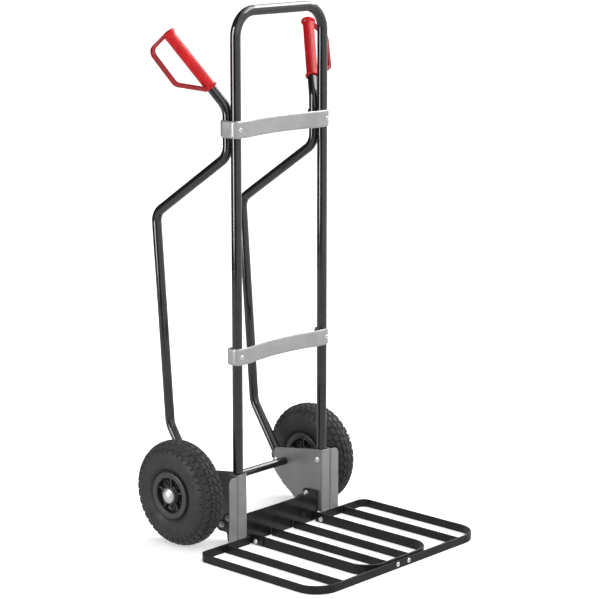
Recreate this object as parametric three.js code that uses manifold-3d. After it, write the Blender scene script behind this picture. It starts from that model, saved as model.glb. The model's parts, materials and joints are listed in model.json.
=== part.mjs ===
// Folding-toe hand truck: bent-tube frame, two pneumatic wheels, a barred toe frame that
// folds up on two hinge bolts, and two grips with knuckle guards.
// Millimetres, +Z up. X runs across the truck, -Y is the load side, the wheels stand at +Y.
// Pieces are drawn in a working frame whose Y = 0 plane holds the uprights and whose Z = 0 is
// the floor; the finished group is then shifted so its origin is the middle of its footprint.

import * as THREE from 'three';
import { mergeVertices } from 'three/addons/utils/BufferGeometryUtils.js';
import Module from 'manifold-3d';

const manifold = await Module();
manifold.setup();

// ---------------------------------------------------------------- driving dimensions
const GAP = 0.3;                 // air between touching pieces

const UPRIGHT_X = 151;           // half the distance between the uprights' centrelines
const UPRIGHT_R = 12.5;
const TUBE_WALL = 2;
const FRAME_TOP_Z = 1297;        // centreline of the top bar
const FRAME_BOTTOM_Z = 22;
const FRAME_BEND_R = 60;

const HANDLE_R = 12;
const GRIP_FOOT = new THREE.Vector3(175.7, 55.3, 1117.2);
const GRIP_HEAD = new THREE.Vector3(243.2, 131.7, 1247.2);
const HANDLE_KNEE_Z = 957;       // where the handle tube leaves the upright
const HANDLE_REAR = { y: 275.5, z: 791 };
const HANDLE_ANKLE = { y: 235.5, z: 264.5 };
const HANDLE_BOLT = { y: 144, z: 128, r: 4 };
const HANDLE_FOOT_LENGTH = 22;   // how far the tube runs on past its bolt
const HANDLE_BEND_R = { shoulder: 60, knee: 46, rear: 38, ankle: 56 };

const GRIP_R = 14;
const GRIP_COLLAR_R = 17.5;
const GRIP_FLANGE_R = 18;
const GUARD_REACH = 74;          // grip axis to the middle of the guard's outer rail
const GUARD_WIDTH = 9;
const GUARD_DEPTH = 12;
const GUARD_OUT = new THREE.Vector3(0.891, -0.015, -0.453);

const STRAP_HEIGHT = 41;
const STRAP_THICKNESS = 3;
const STRAP_FLAT_X = 118;        // the bow starts this far from the middle
const STRAP_SAG = 15;
const UPPER_STRAP = { z: 1022, backY: 44.5, backBend: 14.5 };
const LOWER_STRAP = { z: 474.5, backY: 21, backBend: 5 };

const AXLE_Y = 112.5;
const WHEEL_R = 131;
const AXLE_Z = WHEEL_R;
const AXLE_R = 10;
const WHEEL_X = 238;             // middle of the tyre
const TYRE_HALF_WIDTH = 39;
const BEAD_R = 56.5;             // bore of the tyre
const HUB_R = 22;
const HUB_HALF_LENGTH = 38.5;
const BEARING_R = 17;
const BEARING_WIDTH = 11;
const CAP_R = 19;
const CAP_LENGTH = 9;

const SHEET = 3;
const BRACKET_CLEARANCE = 0.5;   // bracket sheet to upright
const BRACKET_BOTTOM_Z = 20.5;
const BRACKET_TOP_Z = 183;
const BRACKET_BOLT = { y: 0, z: 156.5, r: 4 };
const FLANGE_WIDTH = 30;
const FLANGE_CORNER_R = 15;

const BASE_FRONT_Y = -5;         // front face of the black cross plate
const BASE_TOP_Z = 76;
const BASE_BOTTOM_Z = 1;
const FOOT_OUTER_X = 150;
const TAB_BOLTS = [{ y: 35, z: 61.5, r: 4 }, { y: 56.5, z: 41, r: 4 }];

const BAR_THICKNESS = 5;
const OUTER_BAR_HEIGHT = 20;
const INNER_BAR_HEIGHT = 25;
const TOE_HALF_WIDTH = 300;
const TOE_FRONT_Y = -399;
const TOE_REAR_Y = -11.5;        // rear face of the outer loop's rear bars
const LEG_X = 118;               // centre of the inner loop's legs
const HINGE = { y: -33, z: 10.5, r: 4 };
const FAR_SLAT_X = 212.5;
const MID_SLAT_X = 39.8;
const TOE_RIVET = { x: 20, z: 11 };
const RIVET_R = 3;

const X_AXIS = new THREE.Vector3(1, 0, 0);
const Y_AXIS = new THREE.Vector3(0, 1, 0);
const Z_AXIS = new THREE.Vector3(0, 0, 1);
const SIDES = [{ name: 'left', sign: -1 }, { name: 'right', sign: 1 }];

// ---------------------------------------------------------------- materials
const paint = (color, roughness, metalness) =>
  new THREE.MeshStandardMaterial({ color, roughness, metalness });
const blackTube = () => paint(0x26282a, 0.25, 0.3);
const blackSheet = () => paint(0x202122, 0.3, 0.3);
const toeSteel = () => paint(0x3a3b3c, 0.5, 0.3);
const silverSheet = () => paint(0x9d9e9f, 0.4, 0.6);
const redPlastic = () => paint(0xd42a2c, 0.35, 0);
const rubber = () => paint(0x3c3d3e, 0.8, 0);
const rimPlastic = () => paint(0x3a3b3c, 0.5, 0);
const zinc = () => paint(0xc8c9cb, 0.3, 0.9);

// ---------------------------------------------------------------- solid helpers
const assembly = new THREE.Group();
const truck = new THREE.Group();
assembly.add(truck);

// Keeps only positions, welds shared corners and makes the faces point out.
function closed(geometry) {
  const bare = new THREE.BufferGeometry();
  bare.setAttribute('position', geometry.getAttribute('position').clone());
  if (geometry.index) bare.setIndex(geometry.index.clone());
  const welded = mergeVertices(bare, 1e-4);
  const kept = [];
  const index = welded.index.array;
  for (let i = 0; i < index.length; i += 3) {
    const [a, b, c] = [index[i], index[i + 1], index[i + 2]];
    if (a !== b && b !== c && c !== a) kept.push(a, b, c);
  }
  welded.setIndex(kept);
  if (signedVolume(welded) < 0) {
    for (let i = 0; i < kept.length; i += 3) [kept[i + 1], kept[i + 2]] = [kept[i + 2], kept[i + 1]];
    welded.setIndex(kept);
  }
  return welded;
}

function signedVolume(geometry) {
  const position = geometry.getAttribute('position');
  const [a, b, c] = [new THREE.Vector3(), new THREE.Vector3(), new THREE.Vector3()];
  let total = 0;
  for (let i = 0; i < geometry.index.count; i += 3) {
    a.fromBufferAttribute(position, geometry.index.getX(i));
    b.fromBufferAttribute(position, geometry.index.getX(i + 1));
    c.fromBufferAttribute(position, geometry.index.getX(i + 2));
    total += a.dot(b.cross(c));
  }
  return total / 6;
}

function toSolid(geometry) {
  const shell = closed(geometry);
  return new manifold.Manifold(new manifold.Mesh({
    numProp: 3,
    vertProperties: new Float32Array(shell.getAttribute('position').array),
    triVerts: new Uint32Array(shell.index.array),
  }));
}

function toGeometry(solid) {
  const mesh = solid.getMesh();
  const geometry = new THREE.BufferGeometry();
  geometry.setAttribute('position', new THREE.BufferAttribute(new Float32Array(mesh.vertProperties), 3));
  geometry.setIndex(new THREE.BufferAttribute(new Uint32Array(mesh.triVerts), 1));
  return geometry;
}

const joined = (geometries) => toGeometry(geometries.map(toSolid).reduce((a, b) => a.add(b)));
const cut = (geometry, cutters) =>
  toGeometry(cutters.map(toSolid).reduce((a, b) => a.subtract(b), toSolid(geometry)));

function place(name, geometry, material) {
  const shell = closed(geometry);
  shell.computeVertexNormals();
  const mesh = new THREE.Mesh(shell, material);
  mesh.name = name;
  truck.add(mesh);
  return mesh;
}

const shapeOf = (points) => new THREE.Shape(points.map(([x, y]) => new THREE.Vector2(x, y)));

function circle(radius, sides) {
  const points = [];
  for (let i = 0; i < sides; i += 1) {
    const angle = (i / sides) * 2 * Math.PI;
    points.push(new THREE.Vector2(radius * Math.cos(angle), radius * Math.sin(angle)));
  }
  return points;
}

function tubeSection(radius, wall, outerSides, boreSides) {
  const section = new THREE.Shape(circle(radius, outerSides));
  section.holes.push(new THREE.Path(circle(radius - wall, boreSides).reverse()));
  return section;
}

function barSection(acrossNormal, acrossBinormal) {
  const [a, b] = [acrossNormal / 2, acrossBinormal / 2];
  return shapeOf([[-a, -b], [a, -b], [a, b], [-a, b]]);
}

// Straight runs joined by round bends, or by plain corners where the bend radius is 0.
// Stations lie only where the path turns.
class BentPath extends THREE.Curve {
  constructor(corners, radii, bendSteps, planeNormal = null) {
    super();
    this.planeNormal = planeNormal;
    this.stations = [];
    corners.forEach((corner, i) => {
      if (i === 0 || i === corners.length - 1) {
        const [from, to] = i === 0 ? [corner, corners[1]] : [corners[i - 1], corner];
        this.stations.push({ point: corner.clone(), tangent: to.clone().sub(from).normalize() });
        return;
      }
      this.addBend(corners[i - 1], corner, corners[i + 1], radii[i - 1], bendSteps);
    });
  }

  addBend(before, corner, after, radius, steps) {
    const inward = corner.clone().sub(before).normalize();
    const outward = after.clone().sub(corner).normalize();
    if (radius === 0) {
      this.stations.push({ point: corner.clone(), tangent: inward.add(outward).normalize() });
      return;
    }
    const turn = inward.angleTo(outward);
    const setback = radius * Math.tan(turn / 2);
    const start = corner.clone().addScaledVector(inward, -setback);
    const towardCentre = outward.clone().addScaledVector(inward, -inward.dot(outward)).normalize();
    const centre = start.clone().addScaledVector(towardCentre, radius);
    for (let step = 0; step <= steps; step += 1) {
      const angle = (turn * step) / steps;
      const point = centre.clone()
        .addScaledVector(towardCentre, -radius * Math.cos(angle))
        .addScaledVector(inward, radius * Math.sin(angle));
      const tangent = inward.clone().multiplyScalar(Math.cos(angle))
        .addScaledVector(towardCentre, Math.sin(angle));
      this.stations.push({ point, tangent });
    }
  }

  station(u) { return this.stations[Math.round(u * (this.stations.length - 1))]; }

  getPoint(u, target = new THREE.Vector3()) { return target.copy(this.station(u).point); }

  getPointAt(u, target = new THREE.Vector3()) { return this.getPoint(u, target); }

  getTangentAt(u, target = new THREE.Vector3()) { return target.copy(this.station(u).tangent); }

  // A path with a plane normal carries its section square to that plane.
  computeFrenetFrames(segments, isClosed) {
    if (!this.planeNormal) return super.computeFrenetFrames(segments, isClosed);
    const tangents = this.stations.map(({ tangent }) => tangent.clone());
    const binormals = tangents.map(() => this.planeNormal.clone());
    const normals = tangents.map((tangent) => this.planeNormal.clone().cross(tangent).normalize());
    return { tangents, normals, binormals };
  }
}

const sweep = (section, path) =>
  new THREE.ExtrudeGeometry(section, { steps: path.stations.length - 1, extrudePath: path });

// Turns a profile of [along the axis, radius] points about X.
function turned(profile, segments) {
  const points = profile.map(([along, radius]) => new THREE.Vector2(radius, along));
  const geometry = new THREE.LatheGeometry(points, segments);
  return geometry.rotateZ(-Math.PI / 2);
}

// A plain round rod or ring from one X to another.
function rod(fromX, toX, radius, sides, bore = 0) {
  const profile = [[fromX, bore], [fromX, radius], [toX, radius], [toX, bore]];
  if (bore > 0) profile.push([fromX, bore]);
  return turned(profile, sides);
}

// A flat outline given as [y, z] points, thick along X.
function sheetAcrossX(outline, fromX, toX) {
  const geometry = new THREE.ExtrudeGeometry(
    outline instanceof THREE.Shape ? outline : shapeOf(outline),
    { depth: toX - fromX, bevelEnabled: false, curveSegments: 5 },
  );
  const frame = new THREE.Matrix4().makeBasis(Y_AXIS, Z_AXIS, X_AXIS);
  return geometry.applyMatrix4(frame).translate(fromX, 0, 0);
}

function block(x0, x1, y0, y1, z0, z1) {
  return new THREE.BoxGeometry(x1 - x0, y1 - y0, z1 - z0)
    .translate((x0 + x1) / 2, (y0 + y1) / 2, (z0 + z1) / 2);
}

const mirrored = (geometry, sign) => (sign > 0 ? geometry : geometry.clone().scale(-1, 1, 1));
const onAxle = (geometry) => geometry.translate(0, AXLE_Y, AXLE_Z);

// ---------------------------------------------------------------- tube frame
function alongY(radius, sides, fromY, toY) {
  return new THREE.CylinderGeometry(radius, radius, toY - fromY, sides)
    .translate(0, (fromY + toY) / 2, 0);
}

function mainFrame() {
  const corner = (x, z) => new THREE.Vector3(x, 0, z);
  const path = new BentPath([
    corner(-UPRIGHT_X, FRAME_BOTTOM_Z), corner(-UPRIGHT_X, FRAME_TOP_Z),
    corner(UPRIGHT_X, FRAME_TOP_Z), corner(UPRIGHT_X, FRAME_BOTTOM_Z),
  ], [FRAME_BEND_R, FRAME_BEND_R], 7, Y_AXIS);
  const holes = [];
  SIDES.forEach(({ sign }) => {
    [UPPER_STRAP, LOWER_STRAP].forEach(({ z }) => {
      holes.push(alongY(RIVET_R + GAP, 12, -UPRIGHT_R - 2, 0).translate(sign * UPRIGHT_X, 0, z));
    });
    const hole = rod(UPRIGHT_X - 20, UPRIGHT_X + 20, BRACKET_BOLT.r + GAP, 12);
    holes.push(mirrored(hole.translate(0, BRACKET_BOLT.y, BRACKET_BOLT.z), sign));
  });
  return cut(sweep(tubeSection(UPRIGHT_R, TUBE_WALL, 16, 12), path), holes);
}
place('main_frame_tube', mainFrame(), blackTube());

function gripAxis(sign) {
  const foot = GRIP_FOOT.clone().setX(sign * GRIP_FOOT.x);
  const head = GRIP_HEAD.clone().setX(sign * GRIP_HEAD.x);
  const along = head.clone().sub(foot);
  const length = along.length();
  along.normalize();
  return { foot, along, length };
}

// The grip's axis, carried down to the plane of the upright.
function handleShoulder(sign) {
  const { foot, along } = gripAxis(sign);
  const backToUpright = (foot.x - sign * UPRIGHT_X) / along.x;
  return foot.clone().addScaledVector(along, -backToUpright);
}

function handleTube(sign) {
  const x = sign * UPRIGHT_X;
  const { foot, along, length } = gripAxis(sign);
  const tipInGrip = length - 12;
  const shoulder = handleShoulder(sign);
  const ankle = new THREE.Vector3(x, HANDLE_ANKLE.y, HANDLE_ANKLE.z);
  const bolt = new THREE.Vector3(x, HANDLE_BOLT.y, HANDLE_BOLT.z);
  const towardFoot = bolt.clone().sub(ankle).normalize();
  const { shoulder: shoulderR, knee: kneeR, rear: rearR, ankle: ankleR } = HANDLE_BEND_R;
  const path = new BentPath([
    foot.clone().addScaledVector(along, tipInGrip),
    shoulder,
    new THREE.Vector3(x, shoulder.y, HANDLE_KNEE_Z),
    new THREE.Vector3(x, HANDLE_REAR.y, HANDLE_REAR.z),
    ankle,
    bolt.addScaledVector(towardFoot, HANDLE_FOOT_LENGTH),
  ], [shoulderR, kneeR, rearR, ankleR], 4);
  const hole = rod(UPRIGHT_X - 20, UPRIGHT_X + 20, HANDLE_BOLT.r + GAP, 12)
    .translate(0, HANDLE_BOLT.y, HANDLE_BOLT.z);
  return cut(sweep(tubeSection(HANDLE_R, TUBE_WALL, 14, 10), path), [mirrored(hole, sign)]);
}

// The grip is one moulding: sleeve, foot collar, head flange and knuckle guard.
function grip(sign) {
  const { foot, along, length } = gripAxis(sign);
  const out = GUARD_OUT.clone().setX(sign * GUARD_OUT.x);
  out.addScaledVector(along, -out.dot(along)).normalize();
  const side = along.clone().cross(out);
  const frame = new THREE.Matrix4().makeBasis(along, out, side).setPosition(foot);
  const bore = HANDLE_R + GAP;
  const boreEnd = length - 11;
  const sleeve = turned([
    [0, bore], [0, GRIP_COLLAR_R - 1], [1.5, GRIP_COLLAR_R], [5, GRIP_COLLAR_R], [7, GRIP_R],
    [length - 9, GRIP_R], [length - 6, GRIP_FLANGE_R], [length - 1, GRIP_FLANGE_R],
    [length + 2, GRIP_FLANGE_R - 5], [length + 3, 0], [boreEnd, 0], [boreEnd, bore], [0, bore],
  ], 20);
  const inside = (GRIP_R + bore) / 2;
  const rail = new BentPath([
    new THREE.Vector3(5, inside, 0), new THREE.Vector3(60, GUARD_REACH, 0),
    new THREE.Vector3(length - 8, GUARD_REACH - 3, 0), new THREE.Vector3(length - 3, inside, 0),
  ], [16, 20], 4, Z_AXIS);
  const guard = sweep(barSection(GUARD_WIDTH, GUARD_DEPTH), rail);
  const trimmed = toGeometry(toSolid(guard).subtract(toSolid(rod(-10, boreEnd, bore, 20))));
  return joined([sleeve, trimmed]).applyMatrix4(frame);
}

SIDES.forEach(({ name, sign }) => {
  place(`handle_tube_${name}`, handleTube(sign), blackTube());
  place(`grip_${name}`, grip(sign), redPlastic());
});

// ---------------------------------------------------------------- cross straps
// A flat band in front of the uprights, bowed back between them and hooked round behind.
// Its front corners run round the uprights on the same centre.
const STRAP_BEND_R = UPRIGHT_R + BRACKET_CLEARANCE + STRAP_THICKNESS / 2;
const STRAP_Y = -STRAP_BEND_R;
const STRAP_SIDE_X = UPRIGHT_X + STRAP_BEND_R;

function strap({ z, backY, backBend }) {
  const half = [];
  const bowSteps = 6;
  const bowRadius = (STRAP_FLAT_X ** 2 + STRAP_SAG ** 2) / (2 * STRAP_SAG);
  const bowCentreY = STRAP_Y + STRAP_SAG - bowRadius;
  for (let step = 0; step < bowSteps; step += 1) {
    const x = (STRAP_FLAT_X * step) / bowSteps;
    half.push(new THREE.Vector3(x, bowCentreY + Math.sqrt(bowRadius ** 2 - x ** 2), z));
  }
  const hookY = backY - STRAP_THICKNESS / 2;
  half.push(new THREE.Vector3(STRAP_FLAT_X, STRAP_Y, z));
  half.push(new THREE.Vector3(STRAP_SIDE_X, STRAP_Y, z));
  half.push(new THREE.Vector3(STRAP_SIDE_X, hookY, z));
  half.push(new THREE.Vector3(UPRIGHT_X - UPRIGHT_R / 2, hookY, z));
  const otherHalf = half.slice(1).reverse().map((p) => new THREE.Vector3(-p.x, p.y, p.z));
  const corners = otherHalf.concat(half);
  const radiusAt = (corner) => {
    if (Math.abs(corner.x) < STRAP_SIDE_X) return 0;
    return corner.y < 0 ? STRAP_BEND_R : backBend;
  };
  const radii = corners.slice(1, -1).map(radiusAt);
  const path = new BentPath(corners, radii, 4, Z_AXIS);
  const band = sweep(barSection(STRAP_THICKNESS, STRAP_HEIGHT), path);
  const holes = SIDES.map(({ sign }) => alongY(RIVET_R + GAP, 12, STRAP_Y - 5, STRAP_Y + 5)
    .translate(sign * UPRIGHT_X, 0, z));
  return cut(band, holes);
}

// Domed head outside the band, shank through the band and the tube's front wall.
function strapRivet(sign, z) {
  const face = STRAP_Y - STRAP_THICKNESS / 2 - GAP;
  const head = [[face - 2.2, 0], [face - 1.9, 3], [face - 0.9, 5], [face, 5.6], [face, RIVET_R]];
  const shankEnd = -UPRIGHT_R + TUBE_WALL + 1;
  const geometry = turned([...head, [shankEnd, RIVET_R], [shankEnd, 0]], 12);
  return geometry.rotateZ(Math.PI / 2).translate(sign * UPRIGHT_X, 0, z);
}

place('upper_cross_strap', strap(UPPER_STRAP), silverSheet());
place('lower_cross_strap', strap(LOWER_STRAP), silverSheet());
SIDES.forEach(({ name, sign }) => {
  place(`upper_strap_rivet_${name}`, strapRivet(sign, UPPER_STRAP.z), zinc());
  place(`lower_strap_rivet_${name}`, strapRivet(sign, LOWER_STRAP.z), zinc());
});

// ---------------------------------------------------------------- wheel brackets
const CHANNEL_INNER_X = UPRIGHT_X - UPRIGHT_R - BRACKET_CLEARANCE - SHEET;
const CHANNEL_OUTER_X = UPRIGHT_X + UPRIGHT_R + BRACKET_CLEARANCE + SHEET;
const BRACKET_BACK_Y = -UPRIGHT_R - BRACKET_CLEARANCE;
const BRACKET_FRONT_Y = BRACKET_BACK_Y - SHEET;
const SHEET_BEND_R = 4;
const OUTER_LEG_BACK_Y = 13;

function bracketPlateOutline() {
  const outline = new THREE.Shape();
  outline.moveTo(BRACKET_BACK_Y, BRACKET_BOTTOM_Z);
  outline.lineTo(55, BRACKET_BOTTOM_Z);
  outline.lineTo(127, 79);
  outline.quadraticCurveTo(157, 101, 155, 118);
  outline.lineTo(148.5, 152);
  outline.quadraticCurveTo(147, 161, 139, 161.5);
  outline.lineTo(18, 180);
  outline.lineTo(BRACKET_BACK_Y, BRACKET_TOP_Z);
  return outline;
}

// Folded channel: the side plate behind, a front across the upright and a short outer leg.
function bracketPlate(sign) {
  const plate = sheetAcrossX(bracketPlateOutline(), CHANNEL_INNER_X, CHANNEL_INNER_X + SHEET);
  const [inner, outer, front, back] = [CHANNEL_INNER_X, CHANNEL_OUTER_X, BRACKET_FRONT_Y, BRACKET_BACK_Y];
  const fold = new THREE.Shape();
  fold.moveTo(inner, front + 2 * SHEET_BEND_R);
  fold.lineTo(inner, front + SHEET_BEND_R);
  fold.quadraticCurveTo(inner, front, inner + SHEET_BEND_R, front);
  fold.lineTo(outer - SHEET_BEND_R, front);
  fold.quadraticCurveTo(outer, front, outer, front + SHEET_BEND_R);
  fold.lineTo(outer, OUTER_LEG_BACK_Y);
  fold.lineTo(outer - SHEET, OUTER_LEG_BACK_Y);
  fold.lineTo(outer - SHEET, back);
  fold.lineTo(inner + SHEET, back);
  fold.lineTo(inner + SHEET, front + 2 * SHEET_BEND_R);
  const channel = new THREE.ExtrudeGeometry(fold, {
    depth: BRACKET_TOP_Z - BRACKET_BOTTOM_Z, bevelEnabled: false, curveSegments: 4,
  }).translate(0, 0, BRACKET_BOTTOM_Z);
  const across = (reach, { y, z, r }) => rod(inner - 1, reach, r + GAP, 16).translate(0, y, z);
  const holes = [
    across(outer + 1, BRACKET_BOLT), across(UPRIGHT_X, HANDLE_BOLT),
    across(UPRIGHT_X, { y: AXLE_Y, z: AXLE_Z, r: AXLE_R }),
    ...TAB_BOLTS.map((bolt) => across(UPRIGHT_X, bolt)),
  ];
  return mirrored(cut(joined([plate, channel]), holes), sign);
}

// Angle beside the channel's outer leg, with a flange that faces the load.
const ANGLE_INNER_X = CHANNEL_OUTER_X + GAP;
const FLANGE_OUTER_X = ANGLE_INNER_X + FLANGE_WIDTH;

function bracketFlange(sign) {
  const top = BRACKET_TOP_Z - SHEET;
  const fold = new THREE.Shape();
  const [inner, front] = [ANGLE_INNER_X, BRACKET_FRONT_Y];
  fold.moveTo(inner, OUTER_LEG_BACK_Y);
  fold.lineTo(inner, front + SHEET_BEND_R);
  fold.quadraticCurveTo(inner, front, inner + SHEET_BEND_R, front);
  fold.lineTo(FLANGE_OUTER_X, front);
  fold.lineTo(FLANGE_OUTER_X, front + SHEET);
  fold.lineTo(inner + SHEET, front + SHEET);
  fold.lineTo(inner + SHEET, OUTER_LEG_BACK_Y);
  const angle = new THREE.ExtrudeGeometry(fold, {
    depth: top - BRACKET_BOTTOM_Z, bevelEnabled: false, curveSegments: 4,
  }).translate(0, 0, BRACKET_BOTTOM_Z);
  const corner = new THREE.Shape();
  const [edgeX, r] = [FLANGE_OUTER_X, FLANGE_CORNER_R];
  corner.moveTo(edgeX - r, top + 1);
  corner.lineTo(edgeX - r, top);
  corner.absarc(edgeX - r, top - r, r, Math.PI / 2, 0, true);
  corner.lineTo(edgeX + 1, top - r);
  corner.lineTo(edgeX + 1, top + 1);
  const trim = new THREE.ExtrudeGeometry(corner, { depth: 2 * SHEET, bevelEnabled: false, curveSegments: 4 })
    .rotateX(Math.PI / 2).translate(0, front + 1.5 * SHEET, 0);
  const { y, z, r: boltR } = BRACKET_BOLT;
  const hole = rod(inner - 1, inner + SHEET + 1, boltR + GAP, 16).translate(0, y, z);
  return mirrored(cut(angle, [trim, hole]), sign);
}

// A bolt along X: domed head towards the middle of the truck, nut on its outer end.
function crossBolt(sign, headX, nutX, { y, z, r }) {
  const headR = r * 1.9;
  const nutR = r * 1.75;
  const nutWidth = r * 1.4;
  const tail = nutX + nutWidth + 2;
  const geometry = turned([
    [headX - 4, 0], [headX - 3, headR * 0.7], [headX, headR], [headX, r],
    [nutX, r], [nutX, nutR], [nutX + nutWidth, nutR], [nutX + nutWidth, r], [tail, r], [tail, 0],
  ], 10).translate(0, y, z);
  return mirrored(geometry, sign);
}

SIDES.forEach(({ name, sign }) => {
  place(`bracket_plate_${name}`, bracketPlate(sign), silverSheet());
  place(`bracket_flange_${name}`, bracketFlange(sign), silverSheet());
  const head = CHANNEL_INNER_X - GAP;
  const upperBolt = crossBolt(sign, head, ANGLE_INNER_X + SHEET + GAP, BRACKET_BOLT);
  place(`bracket_bolt_${name}`, upperBolt, zinc());
  const handleBolt = crossBolt(sign, head, UPRIGHT_X + HANDLE_R + GAP, HANDLE_BOLT);
  place(`handle_bolt_${name}`, handleBolt, zinc());
});

// ---------------------------------------------------------------- black cross plate and feet
const TAB_OUTER_X = CHANNEL_INNER_X - GAP;
const LEG_PLAY = 0.6;            // hinge leg to lug, and hinge leg to nut
const LUG_INNER_X = LEG_X + BAR_THICKNESS / 2 + LEG_PLAY;

function basePlate() {
  const back = BASE_FRONT_Y + SHEET;
  const front = block(-TAB_OUTER_X, TAB_OUTER_X, BASE_FRONT_Y, back, BASE_BOTTOM_Z, BASE_TOP_Z);
  const tab = new THREE.Shape();
  tab.moveTo(BASE_FRONT_Y, BASE_BOTTOM_Z);
  tab.lineTo(41, BASE_BOTTOM_Z);
  tab.lineTo(70, 30);
  tab.lineTo(70, 46);
  tab.lineTo(47, 58);
  tab.lineTo(47, 65);
  tab.quadraticCurveTo(47, 73, 40, 73.5);
  tab.lineTo(BASE_FRONT_Y, BASE_TOP_Z);
  const lug = new THREE.Shape();
  const lugTop = HINGE.z + 12;
  lug.moveTo(back, BASE_BOTTOM_Z + 1);
  lug.lineTo(HINGE.y - 14, BASE_BOTTOM_Z + 1);
  lug.quadraticCurveTo(HINGE.y - 23, BASE_BOTTOM_Z + 1, HINGE.y - 23, HINGE.z);
  lug.quadraticCurveTo(HINGE.y - 23, lugTop, HINGE.y - 14, lugTop);
  lug.lineTo(back, lugTop);
  const pieces = [front];
  const holes = [];
  SIDES.forEach(({ sign }) => {
    pieces.push(mirrored(sheetAcrossX(tab, TAB_OUTER_X - SHEET, TAB_OUTER_X), sign));
    pieces.push(mirrored(sheetAcrossX(lug, LUG_INNER_X, LUG_INNER_X + SHEET), sign));
    [...TAB_BOLTS, HINGE].forEach(({ y, z, r }) => {
      holes.push(mirrored(rod(LEG_X, UPRIGHT_X, r + GAP, 12).translate(0, y, z), sign));
    });
  });
  return cut(joined(pieces), holes);
}
place('base_plate', basePlate(), blackSheet());

// Moulded foot outside the side plate, held by the same two bolts as the base plate's tab.
function supportFoot(sign) {
  const outline = [[18, 0], [38, 0], [41, 23], [70, 23], [76, 30], [76, 40], [61, 53], [45, 70], [18, 70]];
  const body = sheetAcrossX(outline, CHANNEL_INNER_X + SHEET + GAP, FOOT_OUTER_X);
  const holes = TAB_BOLTS.map(({ y, z, r }) => rod(LEG_X, FOOT_OUTER_X + 1, r + GAP, 12).translate(0, y, z));
  return mirrored(cut(body, holes), sign);
}

SIDES.forEach(({ name, sign }) => {
  place(`support_foot_${name}`, supportFoot(sign), blackSheet());
  TAB_BOLTS.forEach((tabBolt, i) => {
    const end = i === 0 ? 'front' : 'rear';
    const bolt = crossBolt(sign, TAB_OUTER_X - SHEET - GAP, FOOT_OUTER_X + GAP, tabBolt);
    place(`foot_bolt_${end}_${name}`, bolt, zinc());
  });
});

// ---------------------------------------------------------------- axle and wheels
const HUB_INNER_X = WHEEL_X - HUB_HALF_LENGTH;
const HUB_OUTER_X = WHEEL_X + HUB_HALF_LENGTH;
const AXLE_HALF_LENGTH = HUB_OUTER_X + CAP_LENGTH / 2;
const AXLE_FIT = 0.4;            // the faceted bearing turns freely round the faceted axle
const HUB_PLAY = 1;              // hub to spacer, and hub to cap

place('axle', onAxle(rod(-AXLE_HALF_LENGTH, AXLE_HALF_LENGTH, AXLE_R, 20)), blackTube());

const BEAD_FACE_X = TYRE_HALF_WIDTH - 4.5;   // where the bead meets the rim's lip
const LIP_R = BEAD_R + 1.8;
const RIM_FACE_X = TYRE_HALF_WIDTH - 1;

function tyre() {
  const [w, r] = [TYRE_HALF_WIDTH, WHEEL_R];
  const beadHeel = [w - 16, BEAD_R];
  const outerHalf = [
    beadHeel, [BEAD_FACE_X, BEAD_R], [BEAD_FACE_X, LIP_R + 1], [w - 1.5, LIP_R + 3], [w, r - 55],
    [w - 1, r - 36], [w - 6.5, r - 19], [w - 17, r - 6.5], [8, r],
  ];
  const innerHalf = [[w - 18, r - 17], [w - 9.5, r - 32], [w - 8.5, r - 53], [w - 17, 64], beadHeel];
  const across = (half) => half.map(([along, radius]) => [-along, radius]);
  const outer = [...across(outerHalf), ...outerHalf.slice().reverse()];
  const inner = [...innerHalf.slice().reverse().slice(1), ...across(innerHalf)];
  return turned([...outer, ...inner], 44);
}

// One half of the rim: bead seat, outer lip ring and a five-spoke web that ends at the hub.
function rimHalf() {
  const seat = BEAD_R - GAP;
  const wall = 3.5;
  const [ringInnerR, webX, webThickness] = [43, 19, 5];
  const profile = [
    [0.5, seat], [0.5, seat - wall], [webX, seat - 2 * wall], [webX, HUB_R + GAP],
    [webX + webThickness, HUB_R + GAP], [webX + webThickness, ringInnerR], [RIM_FACE_X, ringInnerR + 1.5],
    [RIM_FACE_X, LIP_R - 1.3], [RIM_FACE_X - 1, LIP_R], [BEAD_FACE_X + GAP, LIP_R],
    [BEAD_FACE_X + GAP, seat], [0.5, seat],
  ];
  const ring = turned(profile, 30);
  const windows = [];
  const count = 5;
  const windowCentreR = (HUB_R + ringInnerR) / 2 + 1;
  for (let i = 0; i < count; i += 1) {
    const angle = (i / count) * 2 * Math.PI;
    const window = new THREE.CylinderGeometry(7.5, 7.5, 30, 8).rotateZ(Math.PI / 2)
      .translate(webX, windowCentreR, 0).rotateX(angle);
    windows.push(window);
  }
  return cut(ring, windows);
}

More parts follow.
